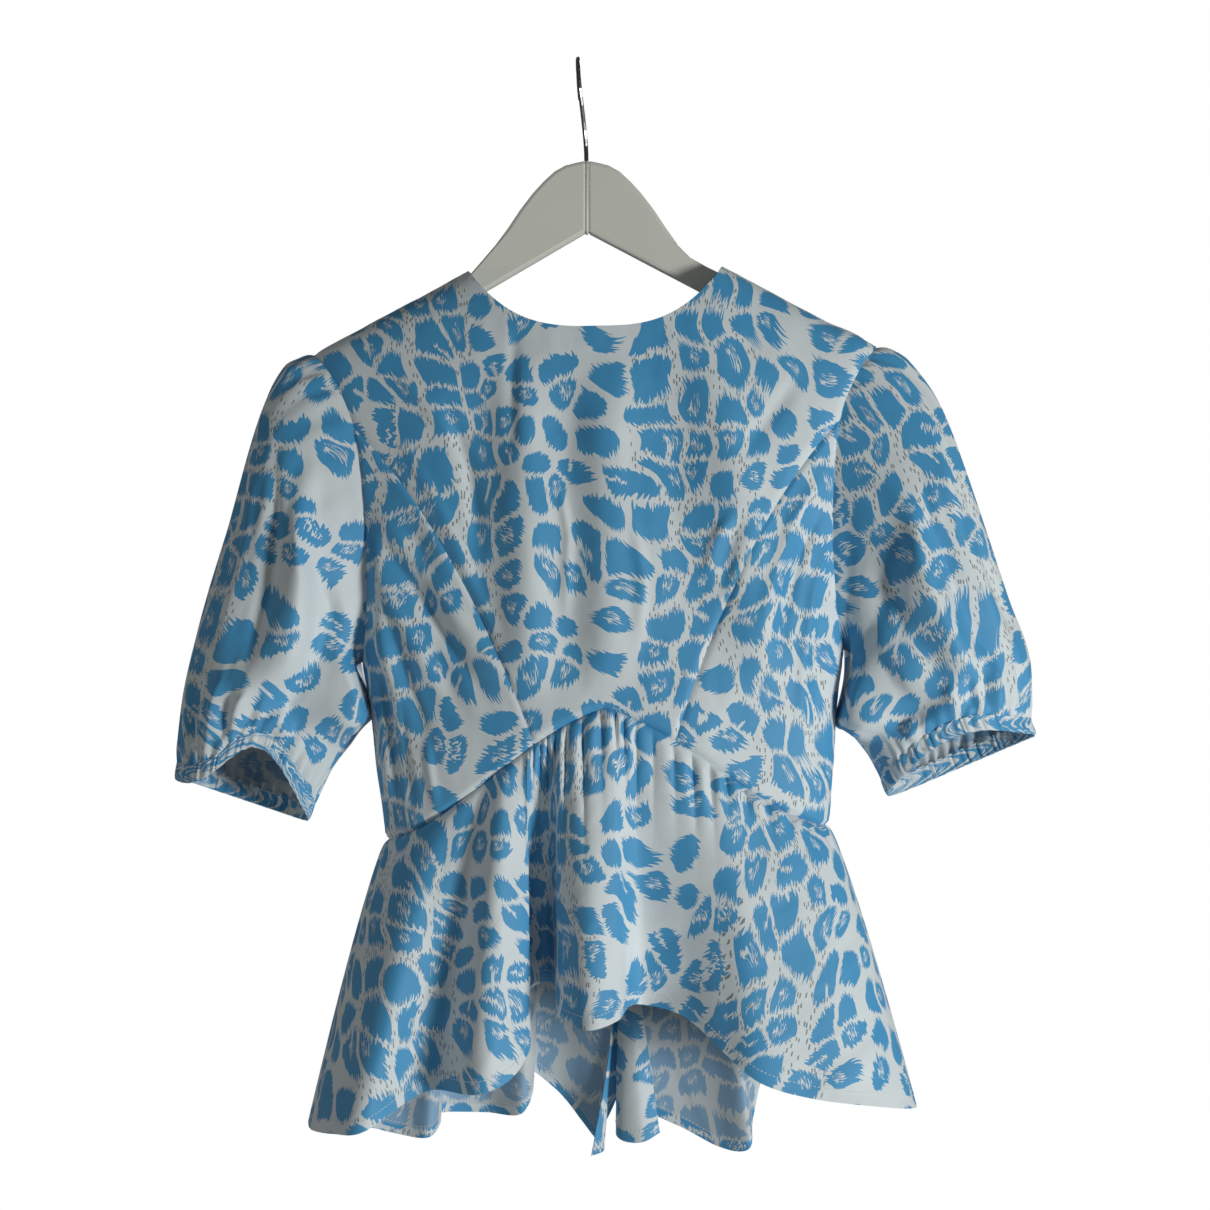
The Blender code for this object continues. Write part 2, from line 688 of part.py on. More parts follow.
def sleeves():
    whole = 2 * math.pi
    for name, folds, side in (("left", SLEEVE_FOLDS_LEFT, -1), ("right", SLEEVE_FOLDS_RIGHT, 1)):

        def sleeve(u, v, folds=folds, side=side):
            turn = -side * whole * u % whole
            return sleeve_point(side, turn, v, folds, SLEEVE_GATHERS, SLEEVE_GATHER_RISE)

        def casing(u, v, side=side):
            turn = -side * whole * u % whole
            return sleeve_point(side, turn, v, [], CASING_GATHERS, CASING_GATHER_RISE)

        rows = [SLEEVE_START, 0.035, 0.08, 0.16, 0.28, 0.42, 0.56, 0.70, 0.82, 0.90, 0.95, 1.0]
        sheet(f"sleeve_{name}", cotton, sleeve, even(2 * SLEEVE_GATHERS), rows, tube=True)
        rows = [1 + CASING_START, 1.035, 1.06]
        sheet(f"casing_{name}", cotton, casing, even(2 * CASING_GATHERS), rows, CASING_WALL, tube=True)


# The hanger


def hanger_top(out, side):
    """Top edge of the wood at a distance out from its own middle, just under the shoulder line."""
    offset = side * (MIDDLE_AT_SHOULDER - HANGER_MIDDLE)
    under_neck = NECK_POINT[0] + 1

    def under_shoulder(across):
        return shoulder_height(across) + side * across * TILT_AT_SHOULDER - HANGER_CLEARANCE

    if out - offset >= under_neck:
        return under_shoulder(out - offset)
    rows = [(HANGER_TOP,)] + [(z,) for _, z in HANGER_ARCH] + [(under_shoulder(under_neck),)]
    keys = [0] + [x for x, _ in HANGER_ARCH] + [under_neck + offset]
    return smooth_table(rows, keys, out)[0]


def hanger_bottom(out, side):
    fall = hanger_top(HANGER_HALF_WIDTH, side) - HANGER_ARM_HEIGHT - HANGER_UNDER_PEAK
    return HANGER_UNDER_PEAK + fall * out / HANGER_HALF_WIDTH


def hanger_arm(name, side):
    """Half of the hanger: a board with rounded edges, cut to the shoulder line."""
    reach = [0.15, 8, 16, 24, 32, 40, 49, 58, 67, 76, 88, 100, 125, 155, 185, HANGER_HALF_WIDTH - 8]
    outline = [(x, hanger_top(x, side)) for x in reach]
    end_top, end_bottom = outline[-1][1], hanger_bottom(HANGER_HALF_WIDTH - 8, side)
    round_end = [(HANGER_HALF_WIDTH - 2, end_top - 5), (HANGER_HALF_WIDTH, (end_top + end_bottom) / 2)]
    round_end.append((HANGER_HALF_WIDTH - 3, end_bottom + 4))
    outline += round_end
    outline += [(x, hanger_bottom(x, side)) for x in (HANGER_HALF_WIDTH - 10, 100, 0.15)]
    shape = bpy.data.curves.new(name, "CURVE")
    shape.dimensions = "2D"
    shape.fill_mode = "BOTH"
    shape.extrude = HANGER_THICKNESS / 2 * MM
    spline = shape.splines.new("POLY")
    spline.points.add(len(outline) - 1)
    for spot, (x, z) in zip(spline.points, outline):
        spot.co = (side * x * MM, z * MM, 0, 1)
    spline.use_cyclic_u = True
    made = bpy.data.objects.new(name, shape)
    blouse.objects.link(made)
    shape.materials.append(painted_wood)
    made.location = (HANGER_MIDDLE * MM, 0, 0)
    made.rotation_euler = (math.radians(90), 0, 0)
    weld = made.modifiers.new("Weld", "WELD")
    weld.merge_threshold = 0.00001
    bevel = made.modifiers.new("Rounded edges", "BEVEL")
    bevel.width = HANGER_EDGE * MM
    bevel.segments = 2
    bevel.limit_method = "ANGLE"
    bevel.angle_limit = math.radians(60)
    return made


def hook_point(t):
    """Along the wire from the wood, up the stem and over the loop to its tip."""
    stem = HOOK_STEM_SHARE
    top = -HOOK_WIRE / 2
    centre_z = HOOK_WIRE / 2 - HOOK_RADIUS
    foot = HANGER_TOP + SEAM_GAP
    if t < stem:
        share = t / stem
        z = foot + (centre_z - foot) * share
        bend = smooth_step((share - HOOK_STRAIGHT) / (1 - HOOK_STRAIGHT))
        y = -HOOK_RADIUS * bend
    else:
        share = (t - stem) / (1 - stem)
        angle = math.radians(180 + (180 + HOOK_TIP_ANGLE) * share)
        y = HOOK_RADIUS * math.cos(angle)
        z = centre_z - HOOK_RADIUS * math.sin(angle)
    lean = smooth_step((z - foot) / (top - foot))
    x = HANGER_MIDDLE - HOOK_FOOT - HOOK_LEAN * lean
    return Vector((x, y, z))


def hook():
    count = 30
    shape = bpy.data.curves.new("hook", "CURVE")
    shape.dimensions = "3D"
    shape.bevel_depth = HOOK_WIRE / 2 * MM
    shape.bevel_resolution = 2
    shape.use_fill_caps = True
    spline = shape.splines.new("POLY")
    spline.points.add(count)
    for i, spot in enumerate(spline.points):
        spot.co = (*(hook_point(i / count) * MM), 1)
    made = bpy.data.objects.new("hook", shape)
    blouse.objects.link(made)
    shape.materials.append(steel)


clear_scene()
blouse = bpy.data.collections.new("peplum_blouse")
bpy.context.scene.collection.children.link(blouse)
cotton = material("printed_cotton", (0.42, 0.60, 0.74), 0.8)
shell_button = material("button", (0.86, 0.88, 0.88), 0.35)
painted_wood = material("painted_wood", (0.62, 0.62, 0.57), 0.45)
steel = material("steel_wire", (0.55, 0.55, 0.56), 0.3, 1.0)

front_panels()
back_panels()
buttons()
peplum_sheet("peplum_front", PEPLUM_FRONT, FRONT_GATHERS, True)
peplum_sheet("peplum_back_left", PEPLUM_BACK_LEFT, BACK_GATHERS, False, BACK_EDGE_BOW)
peplum_sheet("peplum_back_right", PEPLUM_BACK_RIGHT, BACK_GATHERS, False)
sleeves()
hanger_arm("hanger_left", -1)
hanger_arm("hanger_right", 1)
hook()
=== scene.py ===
"""A printed cotton peplum blouse on a white wooden hanger, in a plain white studio.

The cloth pieces are thin shells over the form of the CAD nodes they stand for. Sizes are in
millimetres until a mesh is made. Front is -Y, up is +Z, left and right are as seen from the front.
"""

import math

import bmesh
import bpy
import numpy as np
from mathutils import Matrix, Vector


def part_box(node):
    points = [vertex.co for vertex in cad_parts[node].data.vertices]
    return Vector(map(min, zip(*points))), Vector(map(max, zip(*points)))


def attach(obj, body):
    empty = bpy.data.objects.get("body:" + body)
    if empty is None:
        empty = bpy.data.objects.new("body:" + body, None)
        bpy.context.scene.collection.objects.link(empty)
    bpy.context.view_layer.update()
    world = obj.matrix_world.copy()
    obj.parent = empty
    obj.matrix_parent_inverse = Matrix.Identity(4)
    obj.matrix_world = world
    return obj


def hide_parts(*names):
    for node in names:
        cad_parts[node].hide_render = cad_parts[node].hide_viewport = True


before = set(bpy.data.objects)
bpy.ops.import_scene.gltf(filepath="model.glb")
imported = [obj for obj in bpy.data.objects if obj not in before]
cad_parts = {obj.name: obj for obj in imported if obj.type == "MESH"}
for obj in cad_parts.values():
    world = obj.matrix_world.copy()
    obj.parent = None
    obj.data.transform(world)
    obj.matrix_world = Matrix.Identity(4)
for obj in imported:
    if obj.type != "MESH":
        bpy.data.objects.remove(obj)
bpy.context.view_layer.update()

MM = 0.001
CLOTH = 0.45  # how thick the cloth is

# The form of the garment, as in the CAD model
MIDDLE_AT_SHOULDER, MIDDLE_AT_HEM = 12.5, 26.5
TILT_AT_SHOULDER, TILT_AT_HEM = 0.014, 0.045
SHOULDER_LEVEL, HEM_LEVEL = -210, -770
BODY = [  # height, half width, depth in front, depth behind
    (-600, 164, 62, 54),
    (-566, 162.5, 62, 53),
    (-543, 164.6, 64, 54),
    (-514, 168, 67, 56),
    (-470, 171.6, 70, 58),
    (-437, 176.4, 71, 59),
    (-376, 181, 69, 58),
    (-342, 184, 66, 56),
    (-286, 195, 58, 51),
    (-217, 218, 48, 43),
    (-153, 236, 38, 34),
    (-90, 240, 32, 30),
]
SIDE_ROUNDNESS = 0.8
NECK_POINT = (93.3, -153.5)
SHOULDER_TIP = (206.6, -213.5)
UNDERARM_LEVEL = -437
FRONT_NECK_LEVEL = -199.5
BACK_NECK_LEVEL = -226
NECK_POWER = 3
ARMHOLE_WIDTH = 169
ARMHOLE_POWER = 5.4
UNDERARM_POWER = 8
SHOULDER_FALL = 64
RIDGE_WIDTH, RIDGE_ROUNDING, RIDGE_END = 9, 1.2, 200
SEAM_EASE = 0.4
WAIST_POINT_LEVEL, WAIST_SIDE_LEVEL = -472.5, -566
WAIST_HALF_WIDTH = 162.5
CURVED_SEAM_START = 50
CURVED_SEAM_HANDLES = [(74, -425), (118, -325)]
CURVED_SEAM_ON_ARMHOLE = 0.244
FRONT_FOLDS = [  # across, rise, half width, top, bottom, lean
    (-86, -4, 17, -215, -470, 0),
    (-53, 7, 17, -205, -480, 0),
    (-21, -4, 17, -215, -470, 0),
    (7, 5, 17, -215, -475, -0.02),
    (50, -5, 22, -215, -470, 0.1),
    (79, 7, 20, -205, -490, 0.163),
]
BACK_FOLDS = [
    (-110, 5, 22, -240, -520, 0.05),
    (-62, -5, 20, -260, -500, 0.03),
    (58, -4, 22, -250, -510, 0),
    (108, 5, 20, -240, -500, -0.04),
]
STAND_OVERLAP, STAND_STEP, STAND_EASE = 9, 1.0, 12
PEPLUM_FRONT = [  # place on the waist seam, then the hem's x, y and z
    (-162.5, -198.5, 0, -780), (-153, -191, -34, -778), (-138, -172, -66, -773),
    (-118, -150, -78, -769), (-98, -121, -54, -753), (-86, -101, -56, -744), (-74, -70, -86, -741),
    (-64, -46, -76, -732), (-57, -33, -60, -712), (-53, -38, -42, -692), (-49, -34, -27, -677),
    (-42, -20, -24, -673), (-35, -15, -46, -680), (-28, -13, -72, -690), (-15, 8, -97, -694),
    (4, 29, -86, -689), (14, 36, -68, -683), (28, 48, -55, -684), (50, 76, -61, -691),
    (72, 104, -78, -714), (90, 128, -90, -732), (114, 164, -84, -744), (138, 208, -72, -752),
    (154, 240, -40, -761), (162.5, 248.4, 0, -766),
]
PEPLUM_BACK_LEFT = [
    (-162.5, -198.5, 0, -780), (-152, -186, 36, -786), (-136, -138, 50, -801), (-118, -114, 42, -802),
    (-108, -106, 58, -795), (-96, -108, 76, -791), (-80, -74, 82, -792), (-60, -45, 66, -790),
    (-50, -36, 80, -774), (-42, -40, 98, -762), (-28, -14, 102, -783), (-10, 10, 92, -812),
    (-6, 19, 86, -822), (-1.5, 9, 82, -826),
]
PEPLUM_BACK_RIGHT = [
    (1.5, 62, 74, -806), (4, 48, 68, -812), (8, 33, 74, -812), (13, 29, 84, -806), (22, 44, 96, -795),
    (40, 74, 99, -805), (62, 108, 92, -821), (76, 131, 80, -820), (86, 135, 92, -798),
    (98, 146, 104, -768), (116, 174, 100, -766), (134, 207, 82, -764), (152, 240, 44, -768),
    (162.5, 248.4, 0, -766),
]
GATHER_RISE, GATHER_REACH = 1.5, 0.06  # the reach is a share of the piece's length
SOFT_FOLD = 3.4
WAIST_TUCK, WAIST_TUCK_REACH = 3.4, 0.012
ABOVE_SEAM = 260  # how far the peplum runs up behind the bodice, over its rows' share
FACING_COLUMNS = 8
FLARE_POWER = 0.85
BACK_EDGE_BOW, BACK_EDGE_WIDTH = 13, 0.12
HUNG_FULLNESS, SLEEVE_FULLNESS, GATHERED_FULLNESS = 1.02, 1.08, 1.1
SLEEVE_LEFT = [  # along, outer x and z, inner x and z, depth, lift, drop
    (0.00, -194.8, -218.0, -152.1, -441.7, 27, 0, 0),
    (0.06, -205.0, -221.5, -157.4, -443.8, 31, 0, 0),
    (0.12, -215.7, -226.5, -158.5, -447.0, 36, 0, 0),
    (0.25, -228.7, -249.0, -158.0, -455.0, 45, 1, 0),
    (0.40, -243.2, -294.5, -155.8, -468.0, 52, 3, 0),
    (0.55, -258.7, -350.0, -156.5, -482.0, 54, 7, 1),
    (0.70, -274.9, -405.0, -166.5, -499.5, 53, 16, 2),
    (0.85, -288.7, -458.5, -180.5, -520.0, 50, 30, 4),
    (0.96, -293.5, -501.5, -191.0, -539.5, 47, 42, 6),
    (1.00, -293.0, -516.0, -195.5, -548.5, 44, 46, 6),
    (1.06, -294.5, -526.8, -199.5, -559.0, 43, 47, 6),
]
SLEEVE_RIGHT = [
    (0.00, 219.0, -211.0, 197.0, -432.4, 27, 0, 0),
    (0.06, 230.5, -214.5, 201.8, -435.4, 31, 0, 0),
    (0.12, 243.2, -222.5, 200.0, -443.5, 36, 0, 0),
    (0.25, 264.4, -249.5, 196.0, -459.0, 45, 1, 0),
    (0.40, 282.2, -292.7, 193.6, -473.5, 52, 2, 0),
    (0.55, 299.7, -343.7, 195.2, -487.0, 54, 5, 1),
    (0.70, 316.7, -395.2, 203.5, -500.5, 53, 11, 2),
    (0.85, 331.2, -436.6, 214.5, -515.5, 50, 20, 4),
    (0.96, 332.5, -473.3, 222.0, -527.0, 47, 27, 6),
    (1.00, 331.5, -486.4, 224.5, -532.0, 44, 29, 6),
    (1.06, 335.0, -496.6, 228.6, -542.0, 43, 30, 6),
]
LIFT_LEFT, LIFT_RIGHT = (113, 42), (102, 58)
HEAD_FADE = 0.3
SLEEVE_SMALL_FOLDS = [(2.2, 3.2, 2.5), (1.0, 7, 6), (0.4, 16, 14)]  # rise, how many round and along
SLEEVE_FLATNESS = 0.62  # how deep the sleeve is beside how wide
CASING_TOP, CASING_BOTTOM, CASING_HEIGHT = 0.992, 1.062, 0.07  # shares along the sleeve
CASING_PLEATS, CASING_PLEAT, CASING_WALL = 50, 1.1, 1.5
CASING_SQUEEZE = 2.2  # how much more cloth the elastic holds
SLEEVE_FOLDS_LEFT = [  # angle from the top over the front, rise, half angle, start, end
    (118, -11, 17, 0.15, 0.95),
    (90, 6, 18, 0.15, 0.95),
    (152, 11, 15, 0.25, 0.8),
    (35, -4, 16, 0.35, 1.0),
    (232, -8, 22, 0.2, 0.95),
    (300, -5, 20, 0.3, 1.0),
]
SLEEVE_FOLDS_RIGHT = [
    (118, -9, 18, 0.15, 0.95),
    (90, 5, 18, 0.2, 0.95),
    (152, 11, 15, 0.25, 0.8),
    (48, -5, 16, 0.3, 1.0),
    (228, -8, 22, 0.2, 0.95),
    (305, -5, 20, 0.3, 1.0),
]
CREASE_DEPTH = 1.4
CREASE_END = 0.35  # the share of a crease over which it fades at an end
ALONG_SLEEVE = 300
FRONT_CREASES = [  # half width, rise, then places as across and height
    (7, 2.6, -166, -318, -128, -372, -84, -432, -56, -470),
    (13, -4.5, -144, -312, -126, -380, -114, -440, -106, -510),
    (8, 2.5, -160, -330, -157, -400, -155, -470),
    (5, -2.4, -164, -338, -134, -388, -100, -438, -74, -480),
    (6, 2.2, -164, -352, -146, -400, -120, -452, -98, -500),
    (4.5, -2.0, -162, -372, -150, -420, -134, -470, -118, -518),
    (5, 2.0, -160, -392, -152, -440, -142, -500, -132, -536),
    (3.5, -1.8, -160, -430, -155, -480, -150, -550),
    (3, 1.8, -162, -440, -158, -500, -157, -556),
    (3, -1.6, -146, -455, -141, -510, -138, -548),
    (3, 1.5, -128, -480, -124, -520, -120, -548),
    (5, -2.2, -112, -240, -92, -300, -84, -380),
    (4, 1.8, -150, -262, -112, -330, -84, -400, -66, -440),
    (5, -2.0, -57, -196, -60, -240, -62, -300),
    (4, 2.0, 96, -334, 82, -356, 74, -384),
    (5, -2.0, 104, -330, 92, -362, 84, -400),
    (5, 2.2, 168, -300, 140, -340, 120, -390, 110, -440),
    (4, -1.8, 168, -322, 146, -362, 130, -410, 124, -460),
    (4, 1.6, 166, -352, 152, -396, 142, -450, 140, -510),
    (5, -1.8, 160, -400, 154, -450, 152, -530),
    (6, -1.6, 150, -232, 128, -262, 96, -300),
    (6, 1.6, -150, -226, -120, -256, -96, -286),
    (4, 1.4, -30, -300, -22, -350, -26, -420),
    (5, 1.4, 22, -330, 30, -380, 24, -440),
]
BACK_CREASES = [
    (7, 2.4, -164, -330, -126, -380, -84, -440),
    (5, -2.0, -162, -360, -136, -420, -112, -500),
    (5, 1.8, -158, -400, -146, -460, -138, -540),
    (7, 2.4, 164, -326, 130, -376, 92, -436),
    (5, -2.2, 162, -352, 140, -410, 118, -490),
    (5, 1.8, 158, -396, 148, -460, 142, -540),
    (6, -1.8, -120, -250, -96, -300, -84, -370),
    (6, -1.8, 122, -254, 100, -310, 90, -380),
    (4, 1.5, -60, -330, -52, -400, -54, -480),
    (4, 1.5, 48, -300, 56, -380, 50, -470),
]
SLEEVE_CREASES_LEFT = [  # half width, rise, then places as degrees round and 300 times the share along
    (9, 5.5, 57, 20, 80, 70, 94, 115, 103, 195, 106, 275),
    (8, -5.0, 42, 60, 62, 105, 74, 160, 80, 250),
    (7, 3.5, 28, 90, 46, 150, 56, 260),
    (7, -3.5, 122, 40, 126, 110, 124, 200),
    (6, 3.0, 140, 90, 146, 170, 140, 270),
    (5, 3.2, 66, 230, 64, 262, 68, 292),
    (4, -3.0, 76, 240, 74, 270, 77, 296),
    (5, 3.4, 88, 246, 85, 272, 88, 296),
    (4, -2.6, 98, 236, 96, 268, 97, 296),
    (5, 2.8, 118, 240, 120, 270, 118, 296),
    (4, -2.6, 44, 240, 40, 270, 44, 296),
    (5, 2.6, 26, 236, 30, 268, 28, 296),
    (6, 3.0, 210, 60, 226, 140, 224, 250),
    (6, -3.0, 246, 60, 252, 150, 246, 260),
    (6, 3.0, 272, 70, 280, 160, 270, 270),
    (6, -3.0, 318, 80, 322, 170, 316, 270),
    (5, 2.6, 336, 200, 340, 250, 338, 296),
    (16, 5.5, 174, 40, 178, 110, 182, 200),
]
SLEEVE_CREASES_RIGHT = [
    (8, 4.5, 128, 20, 122, 90, 112, 190, 112, 275),
    (7, -4.0, 112, 40, 104, 110, 94, 200, 96, 270),
    (8, 4.5, 74, 30, 84, 100, 82, 190, 80, 275),
    (7, -4.5, 62, 50, 66, 120, 62, 220, 60, 275),
    (7, 4.0, 44, 60, 48, 140, 42, 270),
    (6, -3.0, 26, 90, 30, 170, 24, 260),
    (6, 3.0, 146, 70, 144, 150, 140, 260),
    (5, 3.0, 96, 240, 98, 270, 95, 296),
    (4, -2.6, 86, 244, 85, 270, 87, 296),
    (5, 2.8, 60, 240, 64, 268, 62, 296),
    (4, -2.6, 72, 236, 74, 268, 72, 296),
    (5, 2.6, 126, 244, 128, 270, 126, 296),
    (4, -2.4, 36, 240, 34, 270, 36, 296),
    (6, 3.0, 212, 60, 222, 140, 220, 250),
    (6, -3.0, 242, 60, 250, 150, 248, 260),
    (6, 3.0, 276, 70, 284, 160, 276, 270),
    (6, -3.0, 314, 80, 320, 170, 318, 270),
    (16, 5.5, 174, 40, 178, 110, 182, 200),
]
SEAM_DEPTH, WAIST_SEAM_DEPTH, SEAM_WIDTH = 1.3, 2.6, 1.9
SMALL_FOLDS = [(1.1, 38, 70), (0.5, 17, 33), (0.22, 8, 13)]  # rise, then size across and down
HEM_STITCH, SLEEVE_STITCH = 9, 2.0  # from the edge
STITCH, STITCH_GAP, STITCH_RADIUS = 2.4, 0.7, 0.27
STITCH_FORM = [  # share along the stitch, thickness, rise
    (0, 0.3, -0.3),
    (0.14, 0.85, 0.02),
    (0.5, 1, 0.14),
    (0.86, 0.85, 0.02),
    (1, 0.3, -0.3),
]
JOINT_WIDTH, JOINT_EDGE, JOINT_SEARCH = 0.9, 1.0, 0.004

# The print
CELL = 26.0  # how far apart the spots are
BAND_PERIOD, BAND_MIDDLE, BAND_HALF_WIDTH = 190.0, 67.0, 40.0
RANDOMNESS = 0.62

# Colours
GROUND = (213, 224, 226), (226, 235, 236)
INK = (58, 147, 198), (74, 162, 210)
STROKE = (96, 108, 110)
WRONG_GROUND = (198, 208, 210), (210, 219, 221)
WRONG_INK = (132, 172, 202)
THREAD_COLOURS = (212.4, 216, 217.8), (236, 240, 242)
WOOD_COLOURS = (216, 218, 206), (224, 226, 215)
CHROME_COLOURS = (112, 113, 116), (138, 139, 142)
BUTTON_COLOURS = (222, 226, 226), (240, 242, 240)

# The studio
FLOOR_RADIUS, FLOOR_LEVEL = 1.0, -1.15
MIDDLE_OF_VIEW = (0.02, 0, -0.45)
LAMPS = [  # name, place, size, power
    ("Key", (2.2, -1.85, -0.95), 0.65, 55),
    ("Left light", (-2.4, -0.6, -0.6), 0.9, 4.5),
    ("Rear light", (0.6, 2.6, 0.2), 0.9, 34),
]
SKY_FILL = 0.12
CAMERA_PLACE, LENS, SENSOR = (0.0198, -1.6, -0.3998), 64.7, 36


# Fields on a surface


def table(rows, keys, at):
    """The rows at keys between the table's own, on a cubic through every row."""
    rows, keys = np.array(rows, float), np.array(keys, float)
    at = np.clip(np.asarray(at, float), keys[0], keys[-1])
    i = np.clip(np.searchsorted(keys, at) - 1, 0, len(keys) - 2)
    slopes = np.empty_like(rows)
    slopes[1:-1] = (rows[2:] - rows[:-2]) / (keys[2:] - keys[:-2])[:, None]
    slopes[0] = (rows[1] - rows[0]) / (keys[1] - keys[0])
    slopes[-1] = (rows[-1] - rows[-2]) / (keys[-1] - keys[-2])
    span = (keys[i + 1] - keys[i])[..., None]
    t = (at - keys[i])[..., None] / span
    found = (2 * t**3 - 3 * t**2 + 1) * rows[i] + (3 * t**2 - 2 * t**3) * rows[i + 1]
    return found + (t**3 - 2 * t**2 + t) * span * slopes[i] + (t**3 - t**2) * span * slopes[i + 1]


def step(t):
    t = np.clip(t, 0.0, 1.0)
    return t * t * (3 - 2 * t)


def noise(x, y, seed):
    """Smooth random values from -1 to 1 over a plane, about a unit apart."""
    count = 97
    lattice = np.random.default_rng(seed).uniform(-1, 1, (count, count))
    x, y = np.broadcast_arrays(x, y)
    x0, y0 = np.floor(x).astype(int), np.floor(y).astype(int)
    tx, ty = step(x - x0), step(y - y0)

    def corner(i, j):
        return lattice[(x0 + i) % count, (y0 + j) % count]

    low = corner(0, 0) * (1 - tx) + corner(1, 0) * tx
    high = corner(0, 1) * (1 - tx) + corner(1, 1) * tx
    return low * (1 - ty) + high * ty


def creases(rows, x, y):
    """Soft ridges and troughs along bent lines: half width, rise, then the line's places."""
    rise = np.zeros(np.broadcast(x, y).shape)
    for width, height, *line in rows:
        line = np.array(line, float).reshape(-1, 2)
        steps = np.linalg.norm(np.diff(line, axis=0), axis=1)
        nearest, place, done = rise * 0 + 1e9, rise * 0, 0.0
        for (x0, y0), (x1, y1), length in zip(line, line[1:], steps):
            share = ((x - x0) * (x1 - x0) + (y - y0) * (y1 - y0)) / length**2
            share = np.clip(share, 0, 1)
            away = np.hypot(x - x0 - share * (x1 - x0), y - y0 - share * (y1 - y0))
            closer = away < nearest
            nearest = np.where(closer, away, nearest)
            place = np.where(closer, (done + share * length) / steps.sum(), place)
            done += length
        ends = step(place / CREASE_END) * step((1 - place) / CREASE_END)
        grown = width * (0.8 + 0.4 * place)
        rise += CREASE_DEPTH * height * ends * np.exp(-((nearest / grown) ** 2))
    return rise


# The body's surface


def fallen(z):
    return np.clip((SHOULDER_LEVEL - z) / (SHOULDER_LEVEL - HEM_LEVEL), 0, 1)


def middle(z):
    return MIDDLE_AT_SHOULDER + (MIDDLE_AT_HEM - MIDDLE_AT_SHOULDER) * fallen(z)


def body_section(z):
    found = table([row[1:] for row in BODY], [row[0] for row in BODY], z)
    return found[..., 0], found[..., 1], found[..., 2]


def shoulder_height(across):
    share = (np.abs(across) - NECK_POINT[0]) / (SHOULDER_TIP[0] - NECK_POINT[0])
    return NECK_POINT[1] + (SHOULDER_TIP[1] - NECK_POINT[1]) * share


def fold_rise(folds, across, z):
    rise = 0.0
    for place, height, half_width, top, bottom, lean in folds:
        inside = step((top - z) / 60) * step((z - bottom) / 60)
        away = across - place - lean * (top - z)
        rise = rise + height * inside * np.exp(-((away / half_width) ** 2))
    return rise


def body_point(across, z, front):
    half_width, ahead, behind = body_section(z)
    share = np.minimum(np.abs(across) / half_width, 1.0)
    closing = (1 - share * share) ** (SIDE_ROUNDNESS / 2)
    drop = np.maximum(shoulder_height(across) - z, 0.0)
    depth = np.where(front, ahead, behind)
    depth = depth + np.where(front, fold_rise(FRONT_FOLDS, across, z), fold_rise(BACK_FOLDS, across, z))
    depth = depth * closing * np.tanh(np.sqrt(drop / SHOULDER_FALL))
    ridge = RIDGE_WIDTH * (1 - np.exp(-np.sqrt(drop / RIDGE_ROUNDING)))
    depth = depth + ridge * np.maximum(0.0, 1 - drop / RIDGE_END) ** 2 + SEAM_EASE
    lean = TILT_AT_SHOULDER + (TILT_AT_HEM - TILT_AT_SHOULDER) * fallen(z)
    return np.stack([middle(z) + across, np.where(front, -depth, depth), z + lean * across], -1)


def neck_line(t, level):
    return NECK_POINT[0] * t, level + (NECK_POINT[1] - level) * np.abs(t) ** NECK_POWER


def shoulder_line(t):
    across = NECK_POINT[0] + (SHOULDER_TIP[0] - NECK_POINT[0]) * t
    return across, shoulder_height(across)


def armhole_line(t):
    t = np.clip(t, 0, 1)
    across = ARMHOLE_WIDTH + (SHOULDER_TIP[0] - ARMHOLE_WIDTH) * (1 - t) ** ARMHOLE_POWER
    underarm = body_section(UNDERARM_LEVEL)[0]
    across = across + (underarm - ARMHOLE_WIDTH) * t**UNDERARM_POWER
    return across, SHOULDER_TIP[1] + (UNDERARM_LEVEL - SHOULDER_TIP[1]) * t


def waist_line(across):
    t = np.abs(across) / WAIST_HALF_WIDTH
    fall = (t + (1 - np.cos(math.pi * t)) / 2) / 2
    return WAIST_POINT_LEVEL + (WAIST_SIDE_LEVEL - WAIST_POINT_LEVEL) * fall


def curved_seam(t):
    points = [(CURVED_SEAM_START, waist_line(CURVED_SEAM_START)), *CURVED_SEAM_HANDLES]
    points.append(armhole_line(CURVED_SEAM_ON_ARMHOLE))
    weights = [(1 - t) ** 3, 3 * t * (1 - t) ** 2, 3 * t * t * (1 - t), t**3]
    return tuple(sum(w * p[k] for w, p in zip(weights, points)) for k in (0, 1))


def side_line(t):
    z = WAIST_SIDE_LEVEL + (UNDERARM_LEVEL - WAIST_SIDE_LEVEL) * t
    return body_section(z)[0], z


def patch(bottom, top, start, end, us, vs):
    """Places between seam lines, as distances from the middle and heights, over a grid."""

    def angled(line):
        across, z = np.broadcast_arrays(*line)
        share = np.clip(across / body_section(z)[0], -1, 1)
        return np.stack([np.arcsin(share) * 2 / math.pi, z], -1)

    low, high, left, right = (angled(line) for line in (bottom(us), top(us), start(vs), end(vs)))
    u, v = us[None, :, None], vs[:, None, None]
    found = (1 - v) * low[None] + v * high[None] + (1 - u) * left[:, None] + u * right[:, None]
    found -= (1 - v) * ((1 - u) * low[0] + u * low[-1]) + v * ((1 - u) * high[0] + u * high[-1])
    z = found[..., 1]
    return body_section(z)[0] * np.sin(found[..., 0] * math.pi / 2), z


def spaced(*stops):
    """Even steps between stops: place, steps, place, steps, place."""
    parts = [np.linspace(a, b, n, endpoint=False) for a, n, b in zip(stops[::2], stops[1::2], stops[2::2])]
    return np.concatenate([*parts, [stops[-1]]])


# Meshes


